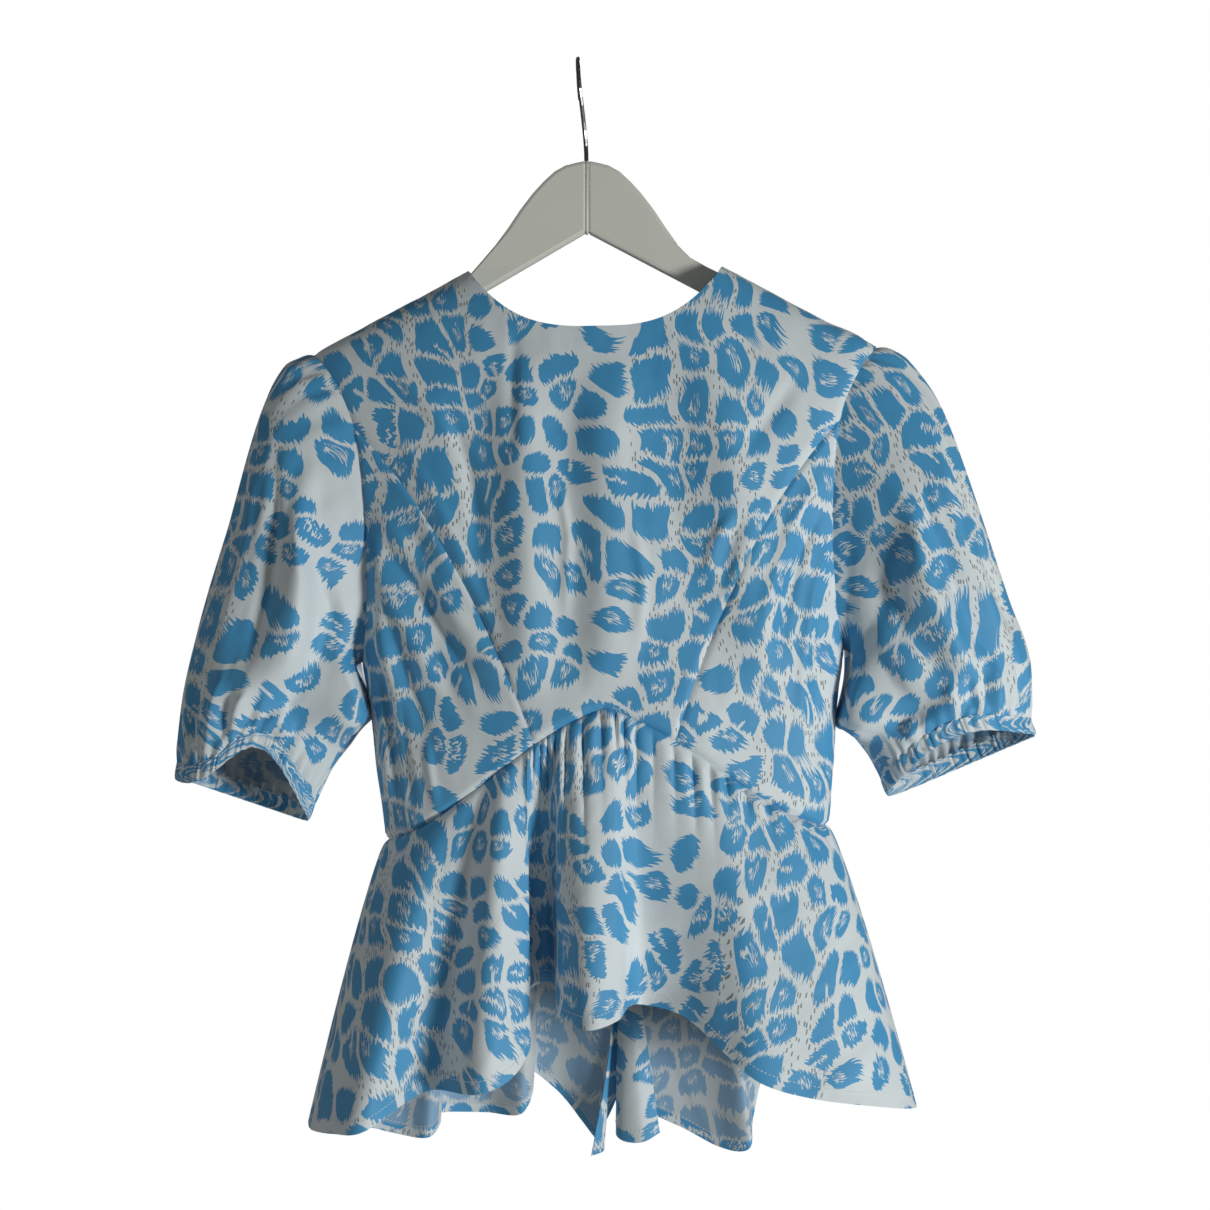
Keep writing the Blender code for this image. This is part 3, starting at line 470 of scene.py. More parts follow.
def normals(points, tube=False):
    if tube:
        points = np.concatenate([points[:, -3:-1], points, points[:, 1:3]], 1)
    across = np.gradient(points, axis=1)
    up = np.gradient(points, axis=0)
    found = np.cross(across, up)
    found /= np.maximum(np.linalg.norm(found, axis=-1, keepdims=True), 1e-9)
    return found[:, 2:-2] if tube else found


def lengths(points, axis):
    """Length along each line of a grid from its first point."""
    steps = np.linalg.norm(np.diff(points, axis=axis), axis=-1)
    return np.concatenate([np.zeros_like(np.take(steps, [0], axis)), np.cumsum(steps, axis)], axis)


def placed(name, data):
    made = bpy.data.objects.new(name, data)
    bpy.context.scene.collection.objects.link(made)
    return made


def quad_mesh(name, verts, faces, slots, finishes, uv=None):
    mesh = bpy.data.meshes.new(name)
    mesh.vertices.add(len(verts))
    mesh.vertices.foreach_set("co", (verts * MM).astype(np.float32).ravel())
    mesh.loops.add(faces.size)
    mesh.loops.foreach_set("vertex_index", faces.astype(np.int32).ravel())
    mesh.polygons.add(len(faces))
    mesh.polygons.foreach_set("loop_start", np.arange(0, faces.size, 4, dtype=np.int32))
    for finish in finishes:
        mesh.materials.append(finish)
    mesh.polygons.foreach_set("material_index", slots.astype(np.int32))
    if uv is not None:
        layer = mesh.uv_layers.new(name="Cloth")
        layer.data.foreach_set("uv", (uv[faces.ravel()] * MM).astype(np.float32).ravel())
    mesh.update(calc_edges=True)
    mesh.validate()
    mesh.shade_smooth()
    mesh.set_sharp_from_angle(angle=math.radians(50))
    return placed(name, mesh)


def shell(name, points, uv, outward, finishes, hem=None, wall=CLOTH):
    """A thin sheet of cloth about a grid of points. hem marks faces whose inner side is turned cloth."""
    rows, columns = points.shape[:2]
    count = rows * columns
    index = np.arange(count).reshape(rows, columns)
    a, b, c, d = index[:-1, :-1], index[:-1, 1:], index[1:, 1:], index[1:, :-1]
    quads = np.stack([a, b, c, d], -1).reshape(-1, 4)
    slots = np.zeros((rows - 1, columns - 1), int)
    if hem is not None:
        slots[hem] = 2
    slots = slots.ravel()
    edge = np.concatenate([index[0, :], index[1:, -1], index[-1, -2::-1], index[-2:0:-1, 0]])
    after = np.roll(edge, -1)
    rim = np.stack([edge, edge + count, after + count, after], -1)
    sides = points + outward * wall / 2, points - outward * wall / 2
    verts = np.concatenate([side.reshape(-1, 3) for side in sides])
    faces = np.concatenate([quads, quads[:, ::-1] + count, rim])
    kinds = np.concatenate([slots, slots + 1, np.zeros(len(rim), int)])
    both = np.concatenate([uv.reshape(-1, 2)] * 2)
    return quad_mesh(name, verts, faces, kinds, finishes, both)


def body_uv(across, z, front, shift):
    """Flat places on the cloth: lengths round the body from its middle, and up it from the waist."""
    columns, rows, low, high = 241, 120, -572, -150
    middle_column = columns // 2
    angles, heights = np.meshgrid(np.linspace(-1, 1, columns), np.linspace(low, high, rows))
    form = body_point(body_section(heights)[0] * np.sin(angles * math.pi / 2) * 0.9999, heights, front)
    round_it = lengths(form * [1, 1, 0], 1)
    round_it -= round_it[:, middle_column][:, None]
    up = lengths(form * [0, 1, 1], 0)
    share = np.clip(across / body_section(z)[0], -1, 1)
    column = (np.arcsin(share) * 2 / math.pi + 1) * middle_column
    row = np.clip((z - low) / (high - low), 0, 1) * (rows - 1)
    i, j = np.minimum(row.astype(int), rows - 2), np.minimum(column.astype(int), columns - 2)
    ti, tj = row - i, column - j

    def at(values):
        below = values[i, j] * (1 - tj) + values[i, j + 1] * tj
        above = values[i + 1, j] * (1 - tj) + values[i + 1, j + 1] * tj
        return below * (1 - ti) + above * ti

    return np.stack([at(round_it) + shift[0], at(up) + shift[1]], -1)


# Materials


def srgb(*values):
    return tuple(((v / 255 + 0.055) / 1.055) ** 2.4 for v in values) + (1.0,)


def feed(tree, sockets, values):
    """Gives each socket its field, its link or its plain value."""
    for socket, value in zip(sockets, values):
        if isinstance(value, Field):
            value = value.socket
        if isinstance(value, bpy.types.NodeSocket):
            tree.links.new(value, socket)
        else:
            socket.default_value = value


class Field:
    """A number over a surface, worked out by math nodes."""

    def __init__(self, tree, socket):
        self.tree, self.socket = tree, socket

    def calc(self, operation, *others, clamp=False):
        made = self.tree.nodes.new("ShaderNodeMath")
        made.operation = operation
        made.use_clamp = clamp
        feed(self.tree, made.inputs, (self, *others))
        return Field(self.tree, made.outputs[0])

    def __add__(self, other):
        return self.calc("ADD", other)

    def __sub__(self, other):
        return self.calc("SUBTRACT", other)

    def __mul__(self, other):
        return self.calc("MULTIPLY", other)

    def __truediv__(self, other):
        return self.calc("DIVIDE", other)

    def over(self, low, high):
        """0 below low and 1 above high."""
        return self.calc("SUBTRACT", low).calc("DIVIDE", high - low, clamp=True)

    def mix(self, low, high):
        """low where this is 0 and high where it is 1."""
        made = self.tree.nodes.new("ShaderNodeMix")
        feed(self.tree, (made.inputs[0], *made.inputs[2:4]), (self, low, high))
        return Field(self.tree, made.outputs[0])


def joined(tree, *values):
    made = tree.nodes.new("ShaderNodeCombineXYZ")
    feed(tree, made.inputs, values)
    return made.outputs[0]


def parts(tree, vector, colour=False):
    made = tree.nodes.new("ShaderNodeSeparateColor" if colour else "ShaderNodeSeparateXYZ")
    tree.links.new(vector, made.inputs[0])
    return [Field(tree, socket) for socket in made.outputs]


def speckle(tree, vector, scale=1.0, detail=0.0, dimensions="2D"):
    """Noise from 0 to 1."""
    made = tree.nodes.new("ShaderNodeTexNoise")
    made.noise_dimensions = dimensions
    tree.links.new(vector, made.inputs["Vector"])
    made.inputs["Scale"].default_value = scale
    made.inputs["Detail"].default_value = detail
    return Field(tree, made.outputs[0])


def cells(tree, vector, feature, randomness):
    made = tree.nodes.new("ShaderNodeTexVoronoi")
    made.voronoi_dimensions = "2D"
    made.feature = feature
    tree.links.new(vector, made.inputs["Vector"])
    made.inputs["Scale"].default_value = 1.0
    made.inputs["Randomness"].default_value = randomness
    return made


def print_group():
    """The animal-skin print: where the cloth is blue, and where it has fine dark strokes."""
    tree = bpy.data.node_groups.new("Print", "ShaderNodeTree")
    tree.interface.new_socket("Place", in_out="INPUT", socket_type="NodeSocketVector")
    tree.interface.new_socket("Blue", in_out="OUTPUT", socket_type="NodeSocketFloat")
    tree.interface.new_socket("Stroke", in_out="OUTPUT", socket_type="NodeSocketFloat")
    start, end = tree.nodes.new("NodeGroupInput"), tree.nodes.new("NodeGroupOutput")
    x, y, _ = parts(tree, start.outputs[0])
    x, y = x * 1000, y * 1000
    # Bent places, so that no two spots are alike
    sway_x = speckle(tree, joined(tree, x / 120, y / 120, 0)) - 0.5
    sway_y = speckle(tree, joined(tree, x / 120 + 20, y / 120 + 9, 0)) - 0.5
    bend_x = speckle(tree, joined(tree, x / 30, y / 30, 0)) - 0.5
    bend_y = speckle(tree, joined(tree, x / 30 + 40, y / 30 + 7, 0)) - 0.5
    px = (x + sway_x * 44 + bend_x * 14) / CELL
    py = (y + sway_y * 44 + bend_y * 14) / CELL
    spots = cells(tree, joined(tree, px, py, 0), "F1", RANDOMNESS)
    centre_x, centre_y, _ = parts(tree, spots.outputs["Position"])
    red, green, blue = parts(tree, spots.outputs["Color"], True)

    # Bands of squarer spots run down the cloth, with dark strokes between them
    def band_at(place):
        turn = ((place - BAND_MIDDLE) / BAND_PERIOD + 0.5).calc("FRACT") - 0.5
        return turn.calc("ABSOLUTE") * -BAND_PERIOD + BAND_HALF_WIDTH

    band = band_at(centre_x * CELL).over(-0.01, 0.01)
    inside = band_at(x + sway_x * 44 + bend_x * 14)
    # Each spot's hairs lie one way, much like its neighbours', and upright in the bands
    lie = speckle(tree, joined(tree, centre_x / 4, centre_y / 4, 0)) - 0.5
    lie = (lie * 4.4 + (red - 0.5) * 0.5 - 0.35) * band.mix(1.0, 0.12)
    sine, cosine = lie.calc("SINE"), lie.calc("COSINE")
    qx, qy = (px - centre_x) * CELL, (py - centre_y) * CELL
    beside = qx * cosine - qy * sine
    along = qx * sine + qy * cosine
    hair = speckle(tree, joined(tree, beside / 0.95, along / 16 + red * 60, 0)) - 0.5
    push = hair * band.mix(8.0, 9.5)
    rx, ry = qx + sine * push, qy + cosine * push
    moved = joined(tree, centre_x + rx / CELL, centre_y + ry / CELL, 0)
    edge = Field(tree, cells(tree, moved, "DISTANCE_TO_EDGE", RANDOMNESS).outputs["Distance"]) * CELL
    # Round or oval spots, and squarer ones in the bands
    spin = blue * 3.1416
    across = rx * spin.calc("COSINE") - ry * spin.calc("SINE")
    upward = rx * spin.calc("SINE") + ry * spin.calc("COSINE")
    stretch = green * 0.35 + 0.9
    oval = ((across * stretch).calc("POWER", 2.0) + (upward / stretch).calc("POWER", 2.0)).calc("SQRT")
    square = (rx.calc("ABSOLUTE").calc("POWER", 4.0) + (ry * 0.92).calc("ABSOLUTE").calc("POWER", 4.0))
    radius = band.mix(oval, square.calc("POWER", 0.25))
    size = red * 3.2 + band.mix(10.2, 11.2)
    shape = (edge - band.mix(1.9, 2.1)).calc("SMOOTH_MIN", size - radius, 5.5)
    # Some spots are open at one side
    turn = blue * 6.283
    slot_x = rx * turn.calc("COSINE") - ry * turn.calc("SINE")
    slot_y = rx * turn.calc("SINE") + ry * turn.calc("COSINE")
    slot = (slot_y.calc("ABSOLUTE") - 1.3).calc("MAXIMUM", slot_x * -1 + 0.5)
    shape = shape.calc("MINIMUM", slot + red.over(0.82, 0.83).mix(40, 0))
    # A few white scratches at the middle of others
    scratch = speckle(tree, joined(tree, beside / 0.8 + 30, along / 4.5, 0)) - 0.53
    middle = (rx * rx + ry * ry).calc("SQRT")
    scratch = (scratch * 30).calc("MINIMUM", middle * -1 + 4.4) - green.over(0.5, 0.51).mix(40, 0)
    shape = shape.calc("MINIMUM", scratch * -1)
    inked = shape.over(-0.12, 0.12)
    # Fine dark strokes between the spots of a band
    dash = cells(tree, joined(tree, x / 1.9 + bend_x * 3, y / 6.5, 0), "F1", 1.0)
    dash.distance = "CHEBYCHEV"
    chance, _, _ = parts(tree, dash.outputs["Color"], True)
    drawn = Field(tree, dash.outputs["Distance"]) * -1 + 0.24
    drawn = drawn.over(-0.04, 0.04) * chance.over(0.55, 0.56) * inside.over(-4, -3.5)
    drawn = drawn * (shape * -1).over(0.3, 0.8)
    tree.links.new(inked.socket, end.inputs["Blue"])
    tree.links.new(drawn.socket, end.inputs["Stroke"])
    return tree


def surface(name, roughness):
    made = bpy.data.materials.new(name)
    made.use_nodes = True
    shader = made.node_tree.nodes["Principled BSDF"]
    shader.inputs["Roughness"].default_value = roughness
    return made, made.node_tree, shader


def bump(tree, shader, height, strength, distance):
    made = tree.nodes.new("ShaderNodeBump")
    made.inputs["Strength"].default_value = strength
    made.inputs["Distance"].default_value = distance
    tree.links.new(height.socket, made.inputs["Height"])
    tree.links.new(made.outputs[0], shader.inputs["Normal"])


def colour_mix(tree, factor, low, high):
    made = tree.nodes.new("ShaderNodeMix")
    made.data_type = "RGBA"
    feed(tree, (made.inputs[0], *made.inputs[6:8]), (factor, low, high))
    return made.outputs[2]


def cotton(name, pattern, wrong_side):
    """Crisp printed poplin, or its paler wrong side."""
    made, tree, shader = surface(name, 0.62)
    place = tree.nodes.new("ShaderNodeUVMap")
    place.uv_map = "Cloth"
    printed = tree.nodes.new("ShaderNodeGroup")
    printed.node_tree = pattern
    tree.links.new(place.outputs[0], printed.inputs[0])
    inked, stroke = (Field(tree, socket) for socket in printed.outputs)
    x, y, _ = parts(tree, place.outputs[0])
    x, y = x * 1000, y * 1000
    soft = speckle(tree, joined(tree, x / 40, y / 40, 0), detail=3)
    if wrong_side:
        ground = colour_mix(tree, soft, *(srgb(*colour) for colour in WRONG_GROUND))
        base = colour_mix(tree, inked, ground, srgb(*WRONG_INK))
    else:
        ground = colour_mix(tree, soft, *(srgb(*colour) for colour in GROUND))
        ink = colour_mix(tree, soft, *(srgb(*colour) for colour in INK))
        base = colour_mix(tree, inked, ground, ink)
        base = colour_mix(tree, stroke * 0.85, base, srgb(*STROKE))
    tree.links.new(base, shader.inputs["Base Color"])
    shader.inputs["Sheen Weight"].default_value = 0.15
    shader.inputs["Sheen Roughness"].default_value = 0.5
    warp = (x * (2 * math.pi / 0.5)).calc("SINE")
    weft = (y * (2 * math.pi / 0.42)).calc("SINE")
    crumple = speckle(tree, joined(tree, x / 22, y / 30, 0), detail=5)
    fine = speckle(tree, joined(tree, x / 2.2, y / 5, 0), detail=2)
    height = warp * weft * 0.02 + crumple * 0.9 + fine * 0.10
    bump(tree, shader, height, 0.5, 0.0009)
    return made


def clouded(name, roughness, scale, detail, colours, gloss=None):
    """A finish whose colour varies softly, and its roughness too. Gives its cloud and places as well."""
    made, tree, shader = surface(name, roughness)
    place = tree.nodes.new("ShaderNodeTexCoord").outputs["Object"]
    cloud = speckle(tree, place, scale, detail, "3D")
    base = colour_mix(tree, cloud, *(srgb(*colour) for colour in colours))
    tree.links.new(base, shader.inputs["Base Color"])
    if gloss:
        tree.links.new(cloud.mix(*gloss).socket, shader.inputs["Roughness"])
    return made, tree, shader, cloud, place


def thread():
    made, tree, shader, grain, _ = clouded("Thread", 0.6, 900, 0.0, THREAD_COLOURS)
    bump(tree, shader, grain, 0.3, 0.0002)
    return made


def painted_wood():
    made, tree, shader, _, place = clouded("Painted wood", 0.42, 14, 3, WOOD_COLOURS, (0.36, 0.5))
    x, y, z = parts(tree, place)
    grain = speckle(tree, joined(tree, x * 30, y * 400, z * 260), detail=4, dimensions="3D")
    bump(tree, shader, grain, 0.25, 0.0004)
    return made


def chrome():
    made, _, shader, _, _ = clouded("Chromed wire", 0.16, 120, 4, CHROME_COLOURS, (0.12, 0.3))
    shader.inputs["Metallic"].default_value = 1.0
    return made


def line_at(points, face, distance):
    """The line over a sheet this far in from its first row, and the way outward along it."""
    down = lengths(points, 0)
    i = np.clip((down < distance).sum(0) - 1, 0, len(points) - 2)
    columns = np.arange(points.shape[1])
    low, high = down[i, columns], down[i + 1, columns]
    share = ((distance - low) / (high - low))[:, None]
    return points[i, columns] * (1 - share) + points[i + 1, columns] * share, face[i, columns]


def stitches(name, lines):
    """Rows of small stitches along lines on the cloth, sunk in it at their ends."""

    def on_line(values, run, places):
        return np.stack([np.interp(places, run, values[:, k]) for k in range(3)], -1)

    sides, rings = 6, len(STITCH_FORM)
    last = rings - 1
    angles = np.arange(sides) * math.pi / 3
    verts, faces = [], []
    first = 0
    for path, outward in lines:
        run = np.concatenate([[0], np.cumsum(np.linalg.norm(np.diff(path, axis=0), axis=1))])
        starts = np.arange(max(int(run[-1] // (STITCH + STITCH_GAP)), 1)) * (STITCH + STITCH_GAP)
        found = []
        for share, thick, rise in STITCH_FORM:
            at = starts + share * STITCH
            up = on_line(outward, run, at)
            up /= np.linalg.norm(up, axis=1, keepdims=True)
            ahead = on_line(path, run, at + 0.4) - on_line(path, run, at - 0.4)
            side = np.cross(ahead, up)
            side /= np.linalg.norm(side, axis=1, keepdims=True)
            round_it = np.cos(angles)[:, None, None] * side + np.sin(angles)[:, None, None] * up
            middle = on_line(path, run, at) + up * (CLOTH / 2 + rise)
            found.append(middle + round_it * thick * STITCH_RADIUS)
        found = np.stack(found).transpose(2, 0, 1, 3)
        size = found.size // 3
        index = first + np.arange(size).reshape(-1, rings, sides)
        ahead = np.roll(index, -1, axis=2)
        quads = np.stack([index[:, :-1], ahead[:, :-1], ahead[:, 1:], index[:, 1:]], -1)
        faces.append(quads.reshape(-1, 4))
        caps = ((0, (3, 2, 1, 0)), (0, (5, 4, 3, 0)), (last, (0, 1, 2, 3)), (last, (0, 3, 4, 5)))
        for ring, order in caps:
            faces.append(index[:, ring, order])
        verts.append(found.reshape(-1, 3))
        first += size
    verts, faces = np.concatenate(verts), np.concatenate(faces)
    made = quad_mesh(name, verts, faces, np.zeros(len(faces)), [THREAD])
    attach(made, "root")


THREAD = thread()
PRINT = print_group()
RIGHT_SIDE = cotton("Printed cotton", PRINT, False)
WRONG_SIDE = cotton("Printed cotton wrong side", PRINT, True)
CLOTH_FINISHES = [RIGHT_SIDE, WRONG_SIDE, RIGHT_SIDE, RIGHT_SIDE]
WOOD = painted_wood()
CHROME = chrome()
BUTTON = clouded("Button", 0.25, 150, 3, BUTTON_COLOURS, (0.2, 0.32))[0]


def declare(piece, points, fullness=HUNG_FULLNESS):
    """Puts a piece of cloth on the root body and hides the CAD node it stands for. fullness is how much
    more cloth was cut than the form has.
    """
    across, up = np.diff(points, axis=1)[:-1], np.diff(points, axis=0)[:, :-1]
    area = np.linalg.norm(np.cross(across, up), axis=-1).sum() * fullness
    width = lengths(points, 1)[:, -1].max() * fullness
    length = max(lengths(points, 0)[-1].max(), area / width)
    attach(piece, "root")
    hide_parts(piece.name.lower())


# The bodice


def relief(across, z, front):
    """Small rise and fall of the cloth over the whole front or back, the same on both sides of a seam."""
    seed = 10 if front else 40
    rise = 0.0
    for number, (height, wide, tall) in enumerate(SMALL_FOLDS, seed):
        rise = rise + height * noise(across / wide, z / tall, number)
    return rise + creases(FRONT_CREASES if front else BACK_CREASES, across, z)


def body_panel(name, lines, us, vs, front, shift, seams, lift=None):
    across, z = patch(*lines, us, vs)
    points = body_point(across, z, front)
    if lift is not None:
        points[..., 1] += lift(across)
    if not front:
        points, across, z = points[:, ::-1], across[:, ::-1], z[:, ::-1]
    outward = normals(points)
    edges = {
        "start": lengths(points, 1),
        "end": lengths(points[:, ::-1], 1)[:, ::-1],
        "bottom": lengths(points, 0),
        "top": lengths(points[::-1], 0)[::-1],
    }
    rise = relief(across, z, front)
    for side in seams:
        away = edges[side]
        pucker = 0.35 * noise(z / 5 + across / 7, 0 * z, 77) * np.exp(-away / 9)
        depth = WAIST_SEAM_DEPTH if side == "bottom" else SEAM_DEPTH
        groove = -depth * np.exp(-((away / SEAM_WIDTH) ** 2))
        rise = rise * step(away / 10 + 0.25) + groove + pucker
    points = points + outward * rise[..., None]
    uv = body_uv(across, z, front, shift)
    declare(shell(name, points, uv, normals(points), CLOTH_FINISHES), points)


def mirrored(line):
    def other(t):
        across, z = line(t)
        return -across, z

    return other


def on_left(bottom, top, start, end):
    """The lines of the same piece on the left."""
    return mirrored(lambda t: bottom(1 - t)), mirrored(lambda t: top(1 - t)), mirrored(end), mirrored(start)


def then(first, second, share):
    """A line that follows the first over this share of it, and then the second."""

    def line(t):
        ends = zip(first(np.minimum(t / share, 1)), second((t - share) / (1 - share)))
        return tuple(np.where(t <= share + 1e-9, one, other) for one, other in ends)

    return line


def front_centre():
    below_armhole, neck = 0.78, 0.62  # shares of the side edge and of the top edge
    edge = then(curved_seam, lambda t: armhole_line(CURVED_SEAM_ON_ARMHOLE * (1 - t)), below_armhole)
    half_top = then(lambda t: neck_line(t, FRONT_NECK_LEVEL), shoulder_line, neck)

    def top(t):
        across, z = half_top(np.abs(2 * t - 1))
        return np.sign(2 * t - 1) * across, z

    def bottom(t):
        across = (2 * t - 1) * CURVED_SEAM_START
        return across, waist_line(across)

    shoulder = 0.5 - neck / 2
    us = spaced(0, 34, shoulder, 92, 1 - shoulder, 34, 1)
    above = 1 - np.linspace(1, 0, 46) ** 1.8 * (1 - below_armhole)
    vs = np.unique(np.concatenate([np.linspace(0, below_armhole, 110), above]))
    lines = bottom, top, mirrored(edge), edge
    body_panel("Front_centre", lines, us, vs, True, (0, 0), ("start", "end", "bottom"))


def front_sides():
    def bottom(t):
        across = CURVED_SEAM_START + (WAIST_HALF_WIDTH - CURVED_SEAM_START) * t
        return across, waist_line(across)

    def top(t):
        return armhole_line(CURVED_SEAM_ON_ARMHOLE + (1 - CURVED_SEAM_ON_ARMHOLE) * t)

    us, vs = np.linspace(0, 1, 70), np.linspace(0, 1, 120)
    lines = bottom, top, curved_seam, side_line
    seams = ("start", "end", "bottom", "top")
    body_panel("Front_side_right", lines, us, vs, True, (310, 40), seams)
    body_panel("Front_side_left", on_left(*lines), us, vs, True, (-330, 90), seams)


def backs():
    below_armhole, neck = 0.36, 0.55
    first = -STAND_OVERLAP / NECK_POINT[0]
    outer = then(side_line, lambda t: armhole_line(1 - t), below_armhole)
    top = then(lambda t: neck_line(first + (1 - first) * t, BACK_NECK_LEVEL), shoulder_line, neck)

    def centre(t):
        _, high = neck_line(-first, BACK_NECK_LEVEL)
        return -STAND_OVERLAP + 0 * t, WAIST_SIDE_LEVEL + (high - WAIST_SIDE_LEVEL) * t

    def bottom(t):
        return -STAND_OVERLAP + (WAIST_HALF_WIDTH + STAND_OVERLAP) * t, WAIST_SIDE_LEVEL + 0 * t

    def stand(sign):
        return lambda across: sign * STAND_STEP * (1 - step((np.abs(across) - STAND_OVERLAP) / STAND_EASE))

    us = spaced(0, 50, neck, 40, 1)
    vs = 1 - (1 - np.linspace(0, 1, 140)) ** 1.7
    lines = bottom, top, centre, outer
    body_panel("Back_right", lines, us, vs, False, (120, 300), ("bottom",), stand(-1))
    body_panel("Back_left", on_left(*lines), 1 - us[::-1], vs, False, (-160, 330), ("bottom",), stand(1))


# The peplum


def waist_point(across, front):
    z = waist_line(across) if front else WAIST_SIDE_LEVEL + 0 * across
    return body_point(across, z, front)


def flat_width(points, height):
    """Lengths across a sheet on its cloth, from its middle. height is how high each point lies on it."""
    steps = np.linalg.norm(np.diff(points, axis=1), axis=-1)
    level = np.sqrt(np.maximum(steps**2 - np.diff(height, axis=1) ** 2, (0.3 * steps) ** 2))
    run = np.concatenate([np.zeros_like(level[:, :1]), np.cumsum(level, 1)], 1)
    return run - run[:, points.shape[1] // 2][:, None]


def peplum(name, hem, front, columns, rows, gathers, shift, seed, bow=0.0, turned=0):
    """A gathered piece from the waist to its hem. bow is how far its centre edge hangs out of line, and
    turned is how wide the facing is that shows beyond that edge."""
    us = np.linspace(0, 1, columns)
    found = table(hem, np.linspace(0, 1, len(hem)), us)
    waist = np.clip(found[:, 0], -WAIST_HALF_WIDTH, WAIST_HALF_WIDTH)
    start = waist_point(waist, front)
    end = found[:, 1:]
    close = np.abs(end[:, 1]) < 0.4
    end[close, 1] = 0.4 * (-1 if front else 1)
    v = np.concatenate([[-0.012, -0.006], np.linspace(0, 1, rows) ** 1.25])[:, None, None]
    low = np.clip(v, 0, 1)
    down = low[..., 0]
    points = start[None] * (1 - low) + end[None] * low
    flare = low**FLARE_POWER - low
    points[..., :2] += ((end - start)[None] * flare)[..., :2]
    points[..., 2] += np.maximum(-v[..., 0], 0) * ABOVE_SEAM
    points[..., 0] += bow * np.sin(math.pi * down) * np.exp(-(1 - us) / BACK_EDGE_WIDTH)
    beside = waist_point(np.minimum(np.maximum(waist + 1, -WAIST_HALF_WIDTH + 2), WAIST_HALF_WIDTH), front)
    behind = waist_point(np.maximum(np.minimum(waist - 1, WAIST_HALF_WIDTH - 2), -WAIST_HALF_WIDTH), front)
    run = beside - behind
    outward = np.stack([run[:, 1], -run[:, 0], 0 * run[:, 0]], -1)
    outward /= np.linalg.norm(outward, axis=-1, keepdims=True)
    outward *= 1 if front else -1

    # Uneven gathers: their spacing, height and length all vary
    def uneven(size, number):
        return noise(us * gathers / size, 0 * us, seed + number)

    fade = step(np.minimum(us, 1 - us) * gathers / 1.5)
    phase = 2 * math.pi * (gathers * us + 1.5 * uneven(4.2, 0))
    height = np.clip(0.55 + 1.9 * uneven(2.6, 1), 0.05, 1.9)
    reach = GATHER_REACH * (1.15 + 0.85 * uneven(2.3, 2))
    crest = 2 * np.abs(np.cos(phase / 2)) ** 0.8 - 1
    rise = GATHER_RISE * height * crest * down / reach * np.exp(1 - down / reach) * fade
    # Longer soft folds run on down from some of them
    soft = uneven(1.9, 3) * SOFT_FOLD * fade
    rise = rise + soft * np.sin(math.pi * np.clip(down, 0, 1) ** 0.6) * (1 - 0.6 * down)
    rise = rise - WAIST_TUCK * np.exp(-down / WAIST_TUCK_REACH)
    points = points + outward[None] * rise[..., None]
    if turned:
        # The centre edge is turned in, and its strip of facing shows beyond the fold
        width = 0.5 + turned * step((1 - down) / 0.2) * step(down / 0.3)
        share = np.linspace(0, 1, FACING_COLUMNS + 1)[None, 1:] * width
        strip = np.repeat(points[:, -1:], FACING_COLUMNS, axis=1)
        strip[..., 0] += share
        strip[..., 1] += 2.5 * step(share / 4) + 0.25 * share
        points = np.concatenate([points, strip], 1)
    if not front:
        points = points[:, ::-1]
    points = points[::-1]
    face = normals(points)

    # Small creases over the sheet, which fade towards its edges
    along_hem, up = lengths(points, 1), lengths(points, 0)
    waver = 0.5 * noise(along_hem / 24, up / 60, seed + 4)
    waver = waver + 0.25 * noise(along_hem / 9, up / 22, seed + 5)
    count = len(points)
    inset = np.minimum(along_hem, along_hem[:, -1:] - along_hem)
    quiet = step((count - 1 - np.arange(count)) / 12)[:, None] * step(inset / 12)
    points = points + face * (waver * quiet)[..., None]
    level = points[-1, :, 2][None] - lengths(points[::-1], 0)[::-1]
    run = flat_width(points, level)
    uv = np.stack([0.5 * run + 0.5 * run[:1] + shift[0], level + shift[1]], -1)
    hems = np.repeat((up.mean(1) < HEM_STITCH)[1:, None], points.shape[1] - 1, axis=1)
    if turned:
        hems[:, :FACING_COLUMNS] = True
    face = normals(points)
    declare(shell(name, points, uv, face, CLOTH_FINISHES, hem=hems), points, GATHERED_FULLNESS)
    path, outward = line_at(points, face, HEM_STITCH)
    stitches(name + "_stitches", [(path, outward), (path, -outward)])


# The sleeves


